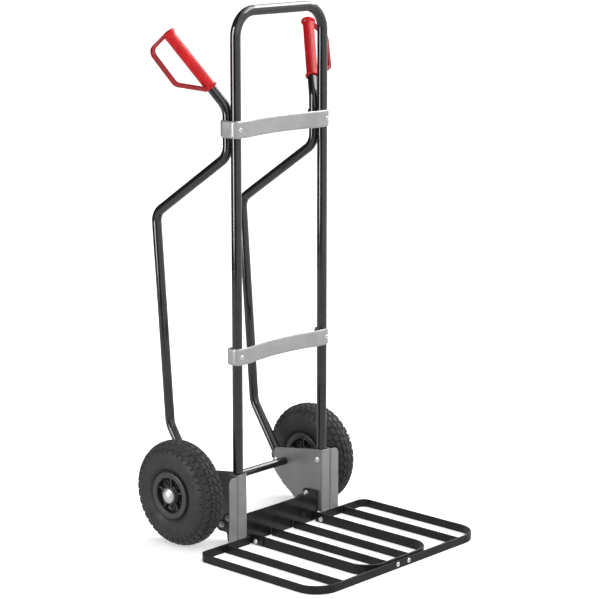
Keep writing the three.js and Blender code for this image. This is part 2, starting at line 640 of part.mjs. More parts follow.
function wheel(name, sign) {
  const centred = (geometry) => mirrored(onAxle(geometry.translate(WHEEL_X, 0, 0)), sign);
  place(`tyre_${name}`, centred(tyre()), rubber());
  place(`rim_outer_${name}`, centred(rimHalf()), rimPlastic());
  place(`rim_inner_${name}`, centred(rimHalf().scale(-1, 1, 1)), rimPlastic());
  const pocket = BEARING_R + GAP;
  const pocketDepth = BEARING_WIDTH + GAP;
  const h = HUB_HALF_LENGTH;
  const hub = turned([
    [-h, pocket], [-h, HUB_R], [h, HUB_R], [h, pocket], [h - pocketDepth, pocket],
    [h - pocketDepth, 12], [pocketDepth - h, 12], [pocketDepth - h, pocket], [-h, pocket],
  ], 20);
  place(`hub_${name}`, centred(hub), rimPlastic());
  const bearing = (fromX) => rod(fromX, fromX + BEARING_WIDTH, BEARING_R, 20, AXLE_R + AXLE_FIT);
  place(`bearing_outer_${name}`, centred(bearing(h - BEARING_WIDTH)), zinc());
  place(`bearing_inner_${name}`, centred(bearing(-h)), zinc());
  const valveFoot = -RIM_FACE_X - 1;
  const valve = rod(valveFoot - 11, valveFoot, 3, 10).translate(0, 0, BEAD_R - 7);
  place(`valve_${name}`, centred(valve), rubber());
}

// Spacer between the bracket and the hub, and the domed cap on the axle's end.
function axleSpacer(sign) {
  const from = CHANNEL_INNER_X + SHEET + GAP;
  return mirrored(onAxle(rod(from, HUB_INNER_X - HUB_PLAY, AXLE_R + 3, 16, AXLE_R + GAP)), sign);
}

function axleCap(sign) {
  const base = HUB_OUTER_X + HUB_PLAY;
  const bore = AXLE_R + GAP;
  const boreEnd = AXLE_HALF_LENGTH + GAP;
  const cap = turned([
    [base, bore], [base, CAP_R - 0.5], [base + 2.5, CAP_R], [base + 5, CAP_R - 2.5],
    [base + 7.5, CAP_R - 8], [base + CAP_LENGTH, 0], [boreEnd, 0], [boreEnd, bore], [base, bore],
  ], 20);
  return mirrored(onAxle(cap), sign);
}

SIDES.forEach(({ name, sign }) => {
  wheel(name, sign);
  place(`axle_spacer_${name}`, axleSpacer(sign), blackTube());
  place(`axle_cap_${name}`, axleCap(sign), zinc());
});

// ---------------------------------------------------------------- folding toe frame
// Both loops are flat bar bent on edge. The outer one stops short of the hinge lugs.
function outerLoop() {
  const x = TOE_HALF_WIDTH - BAR_THICKNESS / 2;
  const rear = TOE_REAR_Y - BAR_THICKNESS / 2;
  const front = TOE_FRONT_Y + BAR_THICKNESS / 2;
  const endX = LUG_INNER_X + SHEET + 1.5;
  const z = OUTER_BAR_HEIGHT / 2;
  const path = new BentPath([
    [-endX, rear], [-x, rear], [-x, front], [x, front], [x, rear], [endX, rear],
  ].map(([px, py]) => new THREE.Vector3(px, py, z)), [20, 60, 60, 20], 5, Z_AXIS);
  return sweep(barSection(BAR_THICKNESS, OUTER_BAR_HEIGHT), path);
}

function innerLoop() {
  const front = TOE_FRONT_Y + BAR_THICKNESS * 1.5 + GAP;
  const rear = BASE_FRONT_Y - 7;
  const z = INNER_BAR_HEIGHT / 2;
  const path = new BentPath([
    [-LEG_X, rear], [-LEG_X, front], [LEG_X, front], [LEG_X, rear],
  ].map(([px, py]) => new THREE.Vector3(px, py, z)), [55, 55], 6, Z_AXIS);
  return sweep(barSection(BAR_THICKNESS, INNER_BAR_HEIGHT), path);
}

function toeRivetHole(sign) {
  const { x, z } = TOE_RIVET;
  return alongY(RIVET_R + GAP, 12, TOE_FRONT_Y - 5, TOE_FRONT_Y + 20).translate(sign * x, 0, z);
}

function hingeHole(sign) {
  const { y, z, r } = HINGE;
  return mirrored(rod(LEG_X - BAR_THICKNESS, LEG_X + BAR_THICKNESS, r + GAP, 12).translate(0, y, z), sign);
}

const rivetHoles = SIDES.map(({ sign }) => toeRivetHole(sign));
const hingeHoles = SIDES.map(({ sign }) => hingeHole(sign));
place('toe_outer_loop', cut(outerLoop(), rivetHoles), toeSteel());
place('toe_inner_loop', cut(innerLoop(), [...rivetHoles, ...hingeHoles]), toeSteel());

// The far slats join the outer loop's front and rear bars. The middle pair starts behind both
// loops' front bars and runs free to the cross plate.
const FAR_SLAT = { name: 'far', x: FAR_SLAT_X, frontBars: 1, rear: TOE_REAR_Y - BAR_THICKNESS };
const MID_SLAT = { name: 'mid', x: MID_SLAT_X, frontBars: 2, rear: BASE_FRONT_Y - 3 };

SIDES.forEach(({ name, sign }) => {
  [FAR_SLAT, MID_SLAT].forEach((slat) => {
    const front = TOE_FRONT_Y + slat.frontBars * (BAR_THICKNESS + GAP);
    const [x, half] = [sign * slat.x, BAR_THICKNESS / 2];
    const bar = block(x - half, x + half, front, slat.rear - GAP, 0, OUTER_BAR_HEIGHT);
    place(`toe_slat_${slat.name}_${name}`, bar, toeSteel());
  });
});

function toeRivet(sign) {
  const face = TOE_FRONT_Y - GAP;
  const back = TOE_FRONT_Y + 2 * (BAR_THICKNESS + GAP);
  const geometry = turned([
    [face - 2.4, 0], [face - 2, 3], [face - 1, 5], [face, 5.8], [face, RIVET_R],
    [back, RIVET_R], [back, 5], [back + 2, 4], [back + 2, 0],
  ], 12);
  return geometry.rotateZ(Math.PI / 2).translate(sign * TOE_RIVET.x, 0, TOE_RIVET.z);
}

// Hinge bolt fixed in the lug: head outside it, nut inside the leg with room to turn.
function hingeBolt(sign) {
  const { y, z, r } = HINGE;
  const headX = LUG_INNER_X + SHEET + GAP;
  const nutX = LEG_X - BAR_THICKNESS / 2 - LEG_PLAY;
  const [nutR, headR] = [6.5, 7.5];
  const geometry = turned([
    [nutX - 5.5, 0], [nutX - 5.5, nutR], [nutX, nutR], [nutX, r], [headX, r], [headX, headR],
    [headX + 2.2, headR - 0.7], [headX + 4, headR - 3.5], [headX + 4.4, 0],
  ], 12).translate(0, y, z);
  return mirrored(geometry, sign);
}

SIDES.forEach(({ name, sign }) => {
  place(`toe_rivet_${name}`, toeRivet(sign), zinc());
  place(`hinge_bolt_${name}`, hingeBolt(sign), zinc());
});

// ---------------------------------------------------------------- origin
const box = new THREE.Box3().setFromObject(truck);
truck.position.set(0, -(box.min.y + box.max.y) / 2, -box.min.z);
assembly.updateMatrixWorld(true);

export default assembly;
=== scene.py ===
import json
import math

import bmesh
import bpy
from mathutils import Matrix, Vector

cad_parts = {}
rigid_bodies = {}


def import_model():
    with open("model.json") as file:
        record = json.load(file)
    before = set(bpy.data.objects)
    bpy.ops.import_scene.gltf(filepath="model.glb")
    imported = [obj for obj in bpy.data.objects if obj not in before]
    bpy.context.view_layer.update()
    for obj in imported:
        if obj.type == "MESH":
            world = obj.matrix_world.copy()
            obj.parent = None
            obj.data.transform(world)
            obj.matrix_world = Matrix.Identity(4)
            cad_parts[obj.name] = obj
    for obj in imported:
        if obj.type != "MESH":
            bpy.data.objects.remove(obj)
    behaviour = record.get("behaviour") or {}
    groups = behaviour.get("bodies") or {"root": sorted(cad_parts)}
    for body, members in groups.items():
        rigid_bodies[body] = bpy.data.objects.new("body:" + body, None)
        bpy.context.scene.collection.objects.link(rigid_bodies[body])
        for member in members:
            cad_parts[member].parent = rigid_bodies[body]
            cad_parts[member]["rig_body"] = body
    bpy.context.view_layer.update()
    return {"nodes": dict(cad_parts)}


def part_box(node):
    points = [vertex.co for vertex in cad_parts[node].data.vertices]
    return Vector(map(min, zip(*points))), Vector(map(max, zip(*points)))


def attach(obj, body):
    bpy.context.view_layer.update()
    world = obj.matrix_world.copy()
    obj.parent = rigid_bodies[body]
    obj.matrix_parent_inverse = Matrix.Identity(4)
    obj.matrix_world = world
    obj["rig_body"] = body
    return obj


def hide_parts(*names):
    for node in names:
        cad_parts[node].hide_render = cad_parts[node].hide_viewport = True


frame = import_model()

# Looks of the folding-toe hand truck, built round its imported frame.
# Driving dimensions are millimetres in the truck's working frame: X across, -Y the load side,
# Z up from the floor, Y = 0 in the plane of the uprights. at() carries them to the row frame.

MM = 0.001
UP = Vector((0, 0, 1))
SIDES = (("left", -1), ("right", 1))


def box_centre(node):
    low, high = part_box(node)
    return (low + high) / 2


PLANE_Y = box_centre("main_frame_tube").y


def at(point):
    x, y, z = point
    return Vector((x * MM, y * MM + PLANE_Y, z * MM))


def working(point):
    """The inverse of at(): a row-frame point in working millimetres."""
    return Vector((point.x / MM, (point.y - PLANE_Y) / MM, point.z / MM))


def box_mm(node):
    low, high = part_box(node)
    return working(low), working(high)


# -------------------------------------------------------- driving dimensions
UPRIGHT_R = 12.5
TUBE_WALL = 2
tube_low, tube_high = box_mm("main_frame_tube")
UPRIGHT_X = tube_high.x - UPRIGHT_R
FRAME_TOP_Z = tube_high.z - UPRIGHT_R
FRAME_BOTTOM_Z = tube_low.z
FRAME_BEND_R = 60

HANDLE_R = 12
GRIP_FOOT = Vector((175.7, 55.3, 1117.2))
GRIP_HEAD = Vector((243.2, 131.7, 1247.2))
HANDLE_KNEE_Z = 957
HANDLE_REAR = (275.5, 791)
HANDLE_ANKLE = (235.5, 264.5)
HANDLE_BOLT = (144, 128)
HANDLE_FOOT_LENGTH = 22
HANDLE_BEND_R = (60, 46, 38, 56)

GRIP_R = 14
GRIP_COLLAR_R = 17.5
GRIP_FLANGE_R = 18
GUARD_REACH = 74
GUARD_WIDTH = 9
GUARD_DEPTH = 12
GUARD_OUT = Vector((0.891, -0.015, -0.453))
GRIP_FLUTES = 22

STRAP_HEIGHT = 41
STRAP_THICKNESS = 3
STRAP_ROLL = 5
STRAP_FLAT_X = 118
STRAP_SAG = 15
STRAP_END_R = 6
UPPER_STRAP = {"name": "upper", "back_y": 44.5, "back_bend": 14.5}
LOWER_STRAP = {"name": "lower", "back_y": 21, "back_bend": 5}

SHEET = 3
SHEET_EDGE_R = 0.7
CLEARANCE = 0.5
BRACKET_INNER_X = UPRIGHT_X - UPRIGHT_R - CLEARANCE - SHEET
BRACKET_OUTER_X = UPRIGHT_X + UPRIGHT_R + CLEARANCE + SHEET
BRACKET_FRONT_Y = -UPRIGHT_R - CLEARANCE - SHEET
plate_low, plate_high = box_mm("bracket_plate_left")
BRACKET_BOTTOM_Z = plate_low.z
BRACKET_TOP_Z = plate_high.z
OUTER_LEG_BACK_Y = 13
SHEET_BEND_R = 4
FLANGE_WIDTH = 30
FLANGE_CORNER_R = 15
BRACKET_BOLT = (0, 156.5)
TAB_BOLTS = (("front", 35, 61.5), ("rear", 56.5, 41))
BOLT_R = 4

BASE_FRONT_Y = -5
BASE_TOP_Z = 76
BASE_BOTTOM_Z = 1
TAB_OUTER_X = BRACKET_INNER_X - 0.3
FOOT_OUTER_X = 150

HINGE_Y = -33
HINGE_Z = 10.5
LEG_X = 118
LUG_INNER_X = 121.1
BAR_THICKNESS = 5
BAR_EDGE_R = 0.8
OUTER_BAR_HEIGHT = 20
INNER_BAR_HEIGHT = 25
toe_low, toe_high = box_mm("toe_outer_loop")
TOE_HALF_WIDTH = toe_high.x
TOE_FRONT_Y = toe_low.y
TOE_REAR_Y = toe_high.y
TOE_RIVET = (20, 11)

WHEEL = {name: working(box_centre(f"tyre_{name}")) for name, sign in SIDES}
tyre_low, tyre_high = box_mm("tyre_left")
WHEEL_R = (tyre_high.z - tyre_low.z) / 2
TYRE_HALF_WIDTH = (tyre_high.x - tyre_low.x) / 2
BEAD_R = 56.5
AXLE_R = 10
HUB_R = 22
HUB_HALF_LENGTH = 38.5
CAP_R = 18
TREAD_PITCHES = 38
TREAD_STEPS = 14
TREAD_DEPTH = 3.4
TREAD_START_R = 102
TREAD_FULL_R = 108
TREAD_RINGS = ((6.5, 1.6), (18.5, -1.8), (31, 1.2))
TREAD_ROWS = ((0, 0.03, 1.3), (0.5, 0.022, 1.5), (0, 0.01, 1.9), (0.45, 0.006, 1.8))
BEAD_LIP_R = BEAD_R + 1.8
RING_INNER_R = 43


# -------------------------------------------------------- materials
LOOKS = {}


def set_inputs(node, values):
    for name, value in values.items():
        node.inputs[name].default_value = value


def set_range(node, from_low, from_high, to_low, to_high):
    set_inputs(node, {"From Min": from_low, "From Max": from_high,
                      "To Min": to_low, "To Max": to_high})


class Look:
    """A principled material whose colour, roughness and relief come from layered noise."""

    def __init__(self, slot_name, roughness, metallic=0.0, coat=0.0, sheen=0.0, specular=0.5,
                 key=None):
        self.material = bpy.data.materials.new(f"{key or slot_name}_finish")
        self.material.use_nodes = True
        self.nodes = self.material.node_tree.nodes
        self.links = self.material.node_tree.links
        self.shader = self.nodes["Principled BSDF"]
        set_inputs(self.shader, {"Metallic": metallic, "Coat Weight": coat, "Coat Roughness": 0.08,
                                 "Sheen Weight": sheen, "Specular IOR Level": specular})
        self.place = self.nodes.new("ShaderNodeTexCoord").outputs["Object"]
        self.geometry = self.nodes.new("ShaderNodeNewGeometry")
        self.colour = None
        self.normal = None
        self.spread_roughness(*roughness)
        LOOKS[key or slot_name] = (slot_name, self.material)

    def noise(self, scale, detail):
        texture = self.nodes.new("ShaderNodeTexNoise")
        set_inputs(texture, {"Scale": scale, "Detail": detail})
        self.links.new(self.place, texture.inputs["Vector"])
        return texture.outputs["Fac"]

    def ranged(self, value, from_low, from_high, to_low, to_high):
        node = self.nodes.new("ShaderNodeMapRange")
        node.interpolation_type = "SMOOTHSTEP"
        set_range(node, from_low, from_high, to_low, to_high)
        self.links.new(value, node.inputs["Value"])
        return node.outputs["Result"]

    def spread_roughness(self, low, high):
        value = self.ranged(self.noise(38, 6), 0.3, 0.7, low, high)
        self.links.new(value, self.shader.inputs["Roughness"])

    def blend_colours(self, factor, first, second):
        node = self.nodes.new("ShaderNodeMix")
        node.data_type = "RGBA"
        for socket, value in (("A", first), ("B", second)):
            target = [s for s in node.inputs if s.name == socket and s.type == "RGBA"][0]
            if isinstance(value, tuple):
                target.default_value = (*value, 1)
            else:
                self.links.new(value, target)
        self.links.new(factor, node.inputs["Factor"])
        self.colour = [s for s in node.outputs if s.type == "RGBA"][0]
        self.links.new(self.colour, self.shader.inputs["Base Color"])

    def mottled(self, dark, light, scale=22, detail=5):
        value = self.ranged(self.noise(scale, detail), 0.3, 0.7, 0, 1)
        self.blend_colours(value, dark, light)

    def worn_edges(self, colour, low, high, amount):
        """Edges that stand proud show the colour underneath, broken up by noise."""
        edge = self.ranged(self.geometry.outputs["Pointiness"], low, high, 0, amount)
        patchy = self.nodes.new("ShaderNodeMath")
        patchy.operation = "MULTIPLY"
        self.links.new(edge, patchy.inputs[0])
        self.links.new(self.ranged(self.noise(160, 4), 0.35, 0.6, 0.1, 1), patchy.inputs[1])
        self.blend_colours(patchy.outputs[0], self.colour, colour)

    def shade_in_hollows(self, colour, low, high, amount):
        """Painted shade: hollows are drawn in a darker tone, as shade falls there."""
        hollow = self.ranged(self.geometry.outputs["Pointiness"], low, high, amount, 0)
        self.blend_colours(hollow, self.colour, colour)

    def relief(self, scale, depth_mm):
        bump = self.nodes.new("ShaderNodeBump")
        set_inputs(bump, {"Strength": 1, "Distance": depth_mm * MM})
        self.links.new(self.noise(scale, 2), bump.inputs["Height"])
        if self.normal:
            self.links.new(self.normal, bump.inputs["Normal"])
        self.normal = bump.outputs["Normal"]
        self.links.new(self.normal, self.shader.inputs["Normal"])


def grey(value, blue=None):
    """A neutral colour, or one whose blue differs a little."""
    return value, value, blue or value


def make_looks():
    tube = Look("black_tube", (0.09, 0.15), coat=0.2)
    tube.mottled(grey(0.006, 0.007), grey(0.011, 0.012))
    tube.worn_edges(grey(0.06), 0.6, 0.75, 0.4)
    tube.relief(240, 0.003)

    sheet = Look("black_sheet", (0.16, 0.26), coat=0.1, specular=0.25)
    sheet.mottled(grey(0.006, 0.007), grey(0.011, 0.012))
    sheet.worn_edges(grey(0.05), 0.58, 0.72, 0.5)
    sheet.relief(200, 0.004)

    toe = Look("toe_steel", (0.3, 0.44), specular=0.2)
    toe.mottled(grey(0.006, 0.0063), grey(0.011, 0.0114), 30)
    toe.worn_edges(grey(0.08), 0.56, 0.7, 0.5)
    toe.relief(500, 0.03)

    # Two copies of the same silver paint: the brackets' copy is drawn at 0.74 of the straps' brightness,
    # painted shade on the brackets.
    for key, share in (("silver_sheet", 1.0), ("shaded_bracket_sheet", 0.74)):
        silver = Look("silver_sheet", (0.32, 0.44), metallic=0.35, key=key)
        silver.mottled(grey(0.23 * share, 0.2323 * share), grey(0.28 * share, 0.2828 * share), 16)
        fleck = silver.ranged(silver.noise(2600, 1), 0.42, 0.62, 0, 0.35)
        silver.blend_colours(fleck, silver.colour, grey(0.42 * share, 0.4242 * share))
        silver.worn_edges(grey(0.6 * share, 0.606 * share), 0.54, 0.66, 0.8)
        silver.relief(1500, 0.02)
        silver.relief(60, 0.05)

    grip = Look("red_grip", (0.26, 0.38), specular=0.2)
    grip.mottled((0.41, 0.005, 0.007), (0.52, 0.008, 0.009), 26)
    grip.worn_edges((0.62, 0.035, 0.03), 0.55, 0.68, 0.4)
    # Painted shade in the grip's flutes and hollows.
    grip.shade_in_hollows((0.2, 0.003, 0.004), 0.4, 0.49, 0.7)
    grip.relief(1300, 0.03)

    # Painted shade: the knuckle guard is the same red moulding as the grip, drawn in a darker red copy
    # for the shade on its faces that turn away, with its hollows darker still as painted shade.
    guard = Look("red_grip", (0.32, 0.45), specular=0.2, key="painted_shade_guard_red")
    guard.mottled((0.22, 0.003, 0.006), (0.31, 0.005, 0.008), 30)
    guard.worn_edges((0.5, 0.015, 0.018), 0.52, 0.62, 0.6)
    guard.shade_in_hollows((0.1, 0.002, 0.003), 0.4, 0.49, 0.7)
    guard.relief(1300, 0.03)

    tyre = Look("tyre_rubber", (0.55, 0.72), sheen=0.05, specular=0.3)
    tyre.mottled(grey(0.012, 0.0123), grey(0.019, 0.0194), 24, 7)
    tyre.worn_edges(grey(0.05, 0.0495), 0.52, 0.62, 0.45)
    # Painted shade in the tyre's grooves and hollows.
    tyre.shade_in_hollows(grey(0.003), 0.4, 0.495, 0.9)
    tyre.relief(900, 0.12)
    tyre.relief(90, 0.15)

    # Painted shade: the web and ribs inside the rim are the same plastic as the rim, drawn in a darker
    # copy for the shade in the recess.
    web = Look("wheel_plastic", (0.4, 0.55), key="shaded_rim_web")
    web.mottled(grey(0.01), grey(0.018), 30)
    web.worn_edges(grey(0.06), 0.54, 0.66, 0.5)
    web.relief(1600, 0.04)

    rim = Look("wheel_plastic", (0.36, 0.5))
    rim.mottled(grey(0.018, 0.0185), grey(0.027, 0.0275), 30)
    rim.worn_edges(grey(0.1), 0.54, 0.66, 0.4)
    rim.relief(1600, 0.04)

    foot = Look("foot_plastic", (0.4, 0.55))
    foot.mottled(grey(0.012), grey(0.022), 30)
    foot.worn_edges(grey(0.07), 0.55, 0.68, 0.5)
    foot.relief(1400, 0.06)

    valve = Look("valve_rubber", (0.5, 0.65))
    valve.mottled(grey(0.016), grey(0.03), 60)
    valve.relief(1400, 0.05)

    zinc = Look("zinc_hardware", (0.3, 0.45), metallic=0.55)
    zinc.mottled(grey(0.52), grey(0.66, 0.655), 120)
    zinc.worn_edges(grey(0.95, 0.94), 0.56, 0.7, 0.6)
    zinc.relief(900, 0.02)

    cap = Look("bright_cap", (0.34, 0.44), metallic=0.6)
    cap.mottled(grey(0.42), grey(0.5, 0.495), 70)
    cap.relief(700, 0.008)


make_looks()


# -------------------------------------------------------- shapes
# A shape is (points, faces) in working millimetres, closed, and may hold several shells.
def loft(rings, closed=False):
    """A skin over rings of equal length, capped at both ends or joined end to end."""
    count = len(rings[0])
    points = [p for ring in rings for p in ring]
    faces = []
    for i in range(len(rings) if closed else len(rings) - 1):
        j = (i + 1) % len(rings)
        for k in range(count):
            m = (k + 1) % count
            faces.append([i * count + k, i * count + m, j * count + m, j * count + k])
    if not closed:
        faces.append(list(reversed(range(count))))
        faces.append([(len(rings) - 1) * count + k for k in range(count)])
    return points, faces


def merged(*shapes):
    points, faces = [], []
    for some_points, some_faces in shapes:
        base = len(points)
        points += some_points
        faces += [[base + i for i in face] for face in some_faces]
    return points, faces


def moved(shape, offset):
    return [Vector(p) + Vector(offset) for p in shape[0]], shape[1]


def to_side(point, sign):
    x, y, z = point
    return Vector((sign * x, y, z))


def mirrored(shape, sign):
    return [to_side(p, sign) for p in shape[0]], shape[1]


def transformed(shape, matrix):
    return [matrix @ Vector(p) for p in shape[0]], shape[1]


def bent(corners, radii, bend_step=math.radians(5), run=40):
    """Points along straight runs joined by round bends; radii has one entry per inner corner."""
    corners = [Vector(c) for c in corners]
    path = [corners[0]]

    def go_straight(target):
        gap = target - path[-1]
        pieces = max(1, math.ceil(gap.length / run))
        start = path[-1]
        for i in range(1, pieces + 1):
            path.append(start + gap * (i / pieces))

    for i, radius in enumerate(radii, start=1):
        inward = (corners[i] - corners[i - 1]).normalized()
        outward = (corners[i + 1] - corners[i]).normalized()
        turn = inward.angle(outward)
        if radius == 0 or turn < 1e-4:
            go_straight(corners[i])
            continue
        start = corners[i] - inward * radius * math.tan(turn / 2)
        toward = (outward - inward * outward.dot(inward)).normalized()
        go_straight(start)
        steps = max(3, math.ceil(turn / bend_step))
        for step in range(1, steps + 1):
            angle = turn * step / steps
            aside = toward * radius * (1 - math.cos(angle))
            path.append(start + aside + inward * radius * math.sin(angle))
    go_straight(corners[-1])
    return path


def tangents(path):
    result = []
    for i, point in enumerate(path):
        before = (point - path[i - 1]).normalized() if i > 0 else None
        after = (path[i + 1] - point).normalized() if i < len(path) - 1 else None
        result.append(((before or after) + (after or before)).normalized())
    return result


def circle(centre, across, other, radius, count):
    angles = [2 * math.pi * k / count for k in range(count)]
    return [centre + (across * math.cos(a) + other * math.sin(a)) * radius for a in angles]


def tube(path, radius):
    """A hollow tube: its outer skin one way and its bore back, meeting at both ends."""
    directions = tangents(path)
    across = directions[0].orthogonal().normalized()
    outer, bore = [], []
    for point, direction in zip(path, directions):
        across = (across - direction * across.dot(direction)).normalized()
        other = direction.cross(across)
        outer.append(circle(point, across, other, radius, 36))
        bore.append(circle(point, across, other, radius - TUBE_WALL, 36))
    return loft(outer + bore[::-1], closed=True)


def rounded_rectangle(width, height, radius, steps=3):
    """Corner-rounded outline as (across, up) pairs."""
    points = []
    for i, (sx, sy) in enumerate(((1, 1), (-1, 1), (-1, -1), (1, -1))):
        for step in range(steps + 1):
            angle = math.pi / 2 * (i + step / steps)
            points.append((sx * (width / 2 - radius) + radius * math.cos(angle),
                           sy * (height / 2 - radius) + radius * math.sin(angle)))
    return points


def swept(path, section_at):
    """A bar along a level path. section_at(i) gives its outline as (across, up) pairs."""
    rings = []
    directions = tangents(path)
    for i, point in enumerate(path):
        side = UP.cross(directions[i]).normalized()
        lean = 1.0
        if i > 0:
            lean = max(0.5, directions[i].dot((point - path[i - 1]).normalized()))
        rings.append([point + side * (a / lean) + UP * b for a, b in section_at(i)])
    return loft(rings)


def bar(path, height):
    section = rounded_rectangle(BAR_THICKNESS, height, BAR_EDGE_R)
    return swept(path, lambda i: section)


def turned(profile, segments, origin=(0, 0, 0), axis=Vector((1, 0, 0)), start=UP, reshape=None):
    """Turns a closed profile of (along, radius) pairs about an axis through origin.

    reshape(index, turn) may give a changed pair for that point of the profile at that turn.
    """
    first = (start - axis * start.dot(axis)).normalized()
    second = axis.cross(first)
    rings = []
    for s in range(segments):
        angle = 2 * math.pi * s / segments
        outward = first * math.cos(angle) + second * math.sin(angle)
        ring = []
        for i, pair in enumerate(profile):
            along, radius = reshape(i, s / segments) if reshape else pair
            ring.append(Vector(origin) + axis * along + outward * radius)
        rings.append(ring)
    return loft(rings, closed=True)


def slab(outline, from_x, to_x):
    """A flat outline of (y, z) pairs, thick along X."""
    return loft([[Vector((x, y, z)) for y, z in outline] for x in (from_x, to_x)])


def hexagon(from_x, to_x, corner_r):
    rings, turn = [], 0.3
    chamfer = (to_x - from_x) * 0.12
    for x, share in ((from_x, 0.9), (from_x + chamfer, 1), (to_x - chamfer, 1), (to_x, 0.9)):
        rings.append([Vector((x, share * corner_r * math.cos(turn + k * math.pi / 3),
                              share * corner_r * math.sin(turn + k * math.pi / 3)))
                      for k in range(6)])
    return loft(rings)


def arc(centre, radius, from_degrees, to_degrees, steps=8):
    points = []
    for i in range(steps + 1):
        angle = math.radians(from_degrees + (to_degrees - from_degrees) * i / steps)
        points.append((centre[0] + radius * math.cos(angle), centre[1] + radius * math.sin(angle)))
    return points


def curve_between(start, control, end, steps=10):
    """Points of a quadratic curve, without its first one."""
    points = []
    for i in range(1, steps + 1):
        t = i / steps
        points.append(tuple(a * (1 - t) ** 2 + 2 * b * t * (1 - t) + c * t * t
                            for a, b, c in zip(start, control, end)))
    return points


def weld_bead(start, end, radius=1.7, ripple=0.25, pitch=1.6):
    """A rippled bead of weld metal, tapered off at both ends."""
    start, end = Vector(start), Vector(end)
    length = (end - start).length
    steps = max(8, int(length / pitch) * 4)
    direction = (end - start).normalized()
    across = direction.orthogonal().normalized()
    other = direction.cross(across)
    rings = []
    for i in range(steps + 1):
        share = i / steps
        taper = math.sqrt(max(0.04, 1 - (2 * share - 1) ** 6))
        r = radius * taper * (1 + ripple * abs(math.sin(math.pi * share * length / pitch)))
        rings.append(circle(start + direction * length * share, across, other, r, 10))
    return loft(rings)


def piece(name, shape, look, body, nodes=(), bevel=0.0, sharp=38):
    points, faces = shape
    mesh = bpy.data.meshes.new(name)
    mesh.from_pydata([at(p) for p in points], [], faces)
    shell = bmesh.new()
    shell.from_mesh(mesh)
    bmesh.ops.remove_doubles(shell, verts=shell.verts, dist=2e-6)
    bmesh.ops.recalc_face_normals(shell, faces=shell.faces)
    shell.to_mesh(mesh)
    shell.free()
    mesh.shade_smooth()
    mesh.set_sharp_from_angle(angle=math.radians(sharp))
    slot, material = LOOKS[look]
    mesh.materials.append(material)
    made = bpy.data.objects.new(name, mesh)
    bpy.context.scene.collection.objects.link(made)
    if bevel:
        edges = made.modifiers.new("rounded_edges", "BEVEL")
        edges.width = bevel * MM
        edges.segments = 2
        edges.limit_method = "ANGLE"
        edges.angle_limit = math.radians(40)
    evened = made.modifiers.new("even_normals", "WEIGHTED_NORMAL")
    evened.keep_sharp = True
    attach(made, body)
    if nodes:
        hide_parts(*nodes)
    return made


def finished(node, shape, look, **options):
    """The finished form of one CAD node, riding on that node's own body."""
    body = frame["nodes"][node]["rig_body"]
    return piece(f"{node}_finished", shape, look, body, (node,), **options)


# -------------------------------------------------------- tube frame and handles
def build_main_frame():
    path = bent([(-UPRIGHT_X, 0, FRAME_BOTTOM_Z), (-UPRIGHT_X, 0, FRAME_TOP_Z),
                 (UPRIGHT_X, 0, FRAME_TOP_Z), (UPRIGHT_X, 0, FRAME_BOTTOM_Z)],
                [FRAME_BEND_R, FRAME_BEND_R])
    finished("main_frame_tube", tube(path, UPRIGHT_R), "black_tube", bevel=0.3)


def grip_axis(sign):
    foot, head = to_side(GRIP_FOOT, sign), to_side(GRIP_HEAD, sign)
    return foot, (head - foot).normalized(), (head - foot).length


def build_handle_tube(name, sign):
    x = sign * UPRIGHT_X
    foot, along, length = grip_axis(sign)
    shoulder = foot - along * ((foot.x - x) / along.x)
    ankle = Vector((x, *HANDLE_ANKLE))
    bolt = Vector((x, *HANDLE_BOLT))
    end = bolt + (bolt - ankle).normalized() * HANDLE_FOOT_LENGTH
    path = bent([foot + along * (length - 12), shoulder, (x, shoulder.y, HANDLE_KNEE_Z),
                 (x, *HANDLE_REAR), ankle, end], HANDLE_BEND_R)
    finished(f"handle_tube_{name}", tube(path, HANDLE_R), "black_tube", bevel=0.3)


def grip_profile(length):
    bore = HANDLE_R + 0.3
    collar = [(0, bore), (0, GRIP_COLLAR_R - 1.2)]
    collar += arc((1.2, GRIP_COLLAR_R - 1.2), 1.2, 180, 90, 4)
    collar += arc((4.2, GRIP_COLLAR_R - 1.2), 1.2, 90, 20, 4)
    collar += curve_between(collar[-1], (5.4, GRIP_R), (8.5, GRIP_R), 5)
    sleeve = [(a, GRIP_R) for a in (10, 12, 14, 50, 90, length - 18, length - 16, length - 13)]
    flange = curve_between(sleeve[-1], (length - 7.5, GRIP_R), (length - 6, GRIP_FLANGE_R - 1), 5)
    flange += arc((length - 5, GRIP_FLANGE_R - 1), 1, 180, 90, 4)[1:]
    flange += arc((length - 2, GRIP_FLANGE_R - 1.4), 1.4, 90, 30, 4)
    dome = curve_between(flange[-1], (length + 2.6, GRIP_FLANGE_R - 4), (length + 3, 0), 7)
    return collar + sleeve + flange + dome + [(length - 11, 0), (length - 11, bore)]


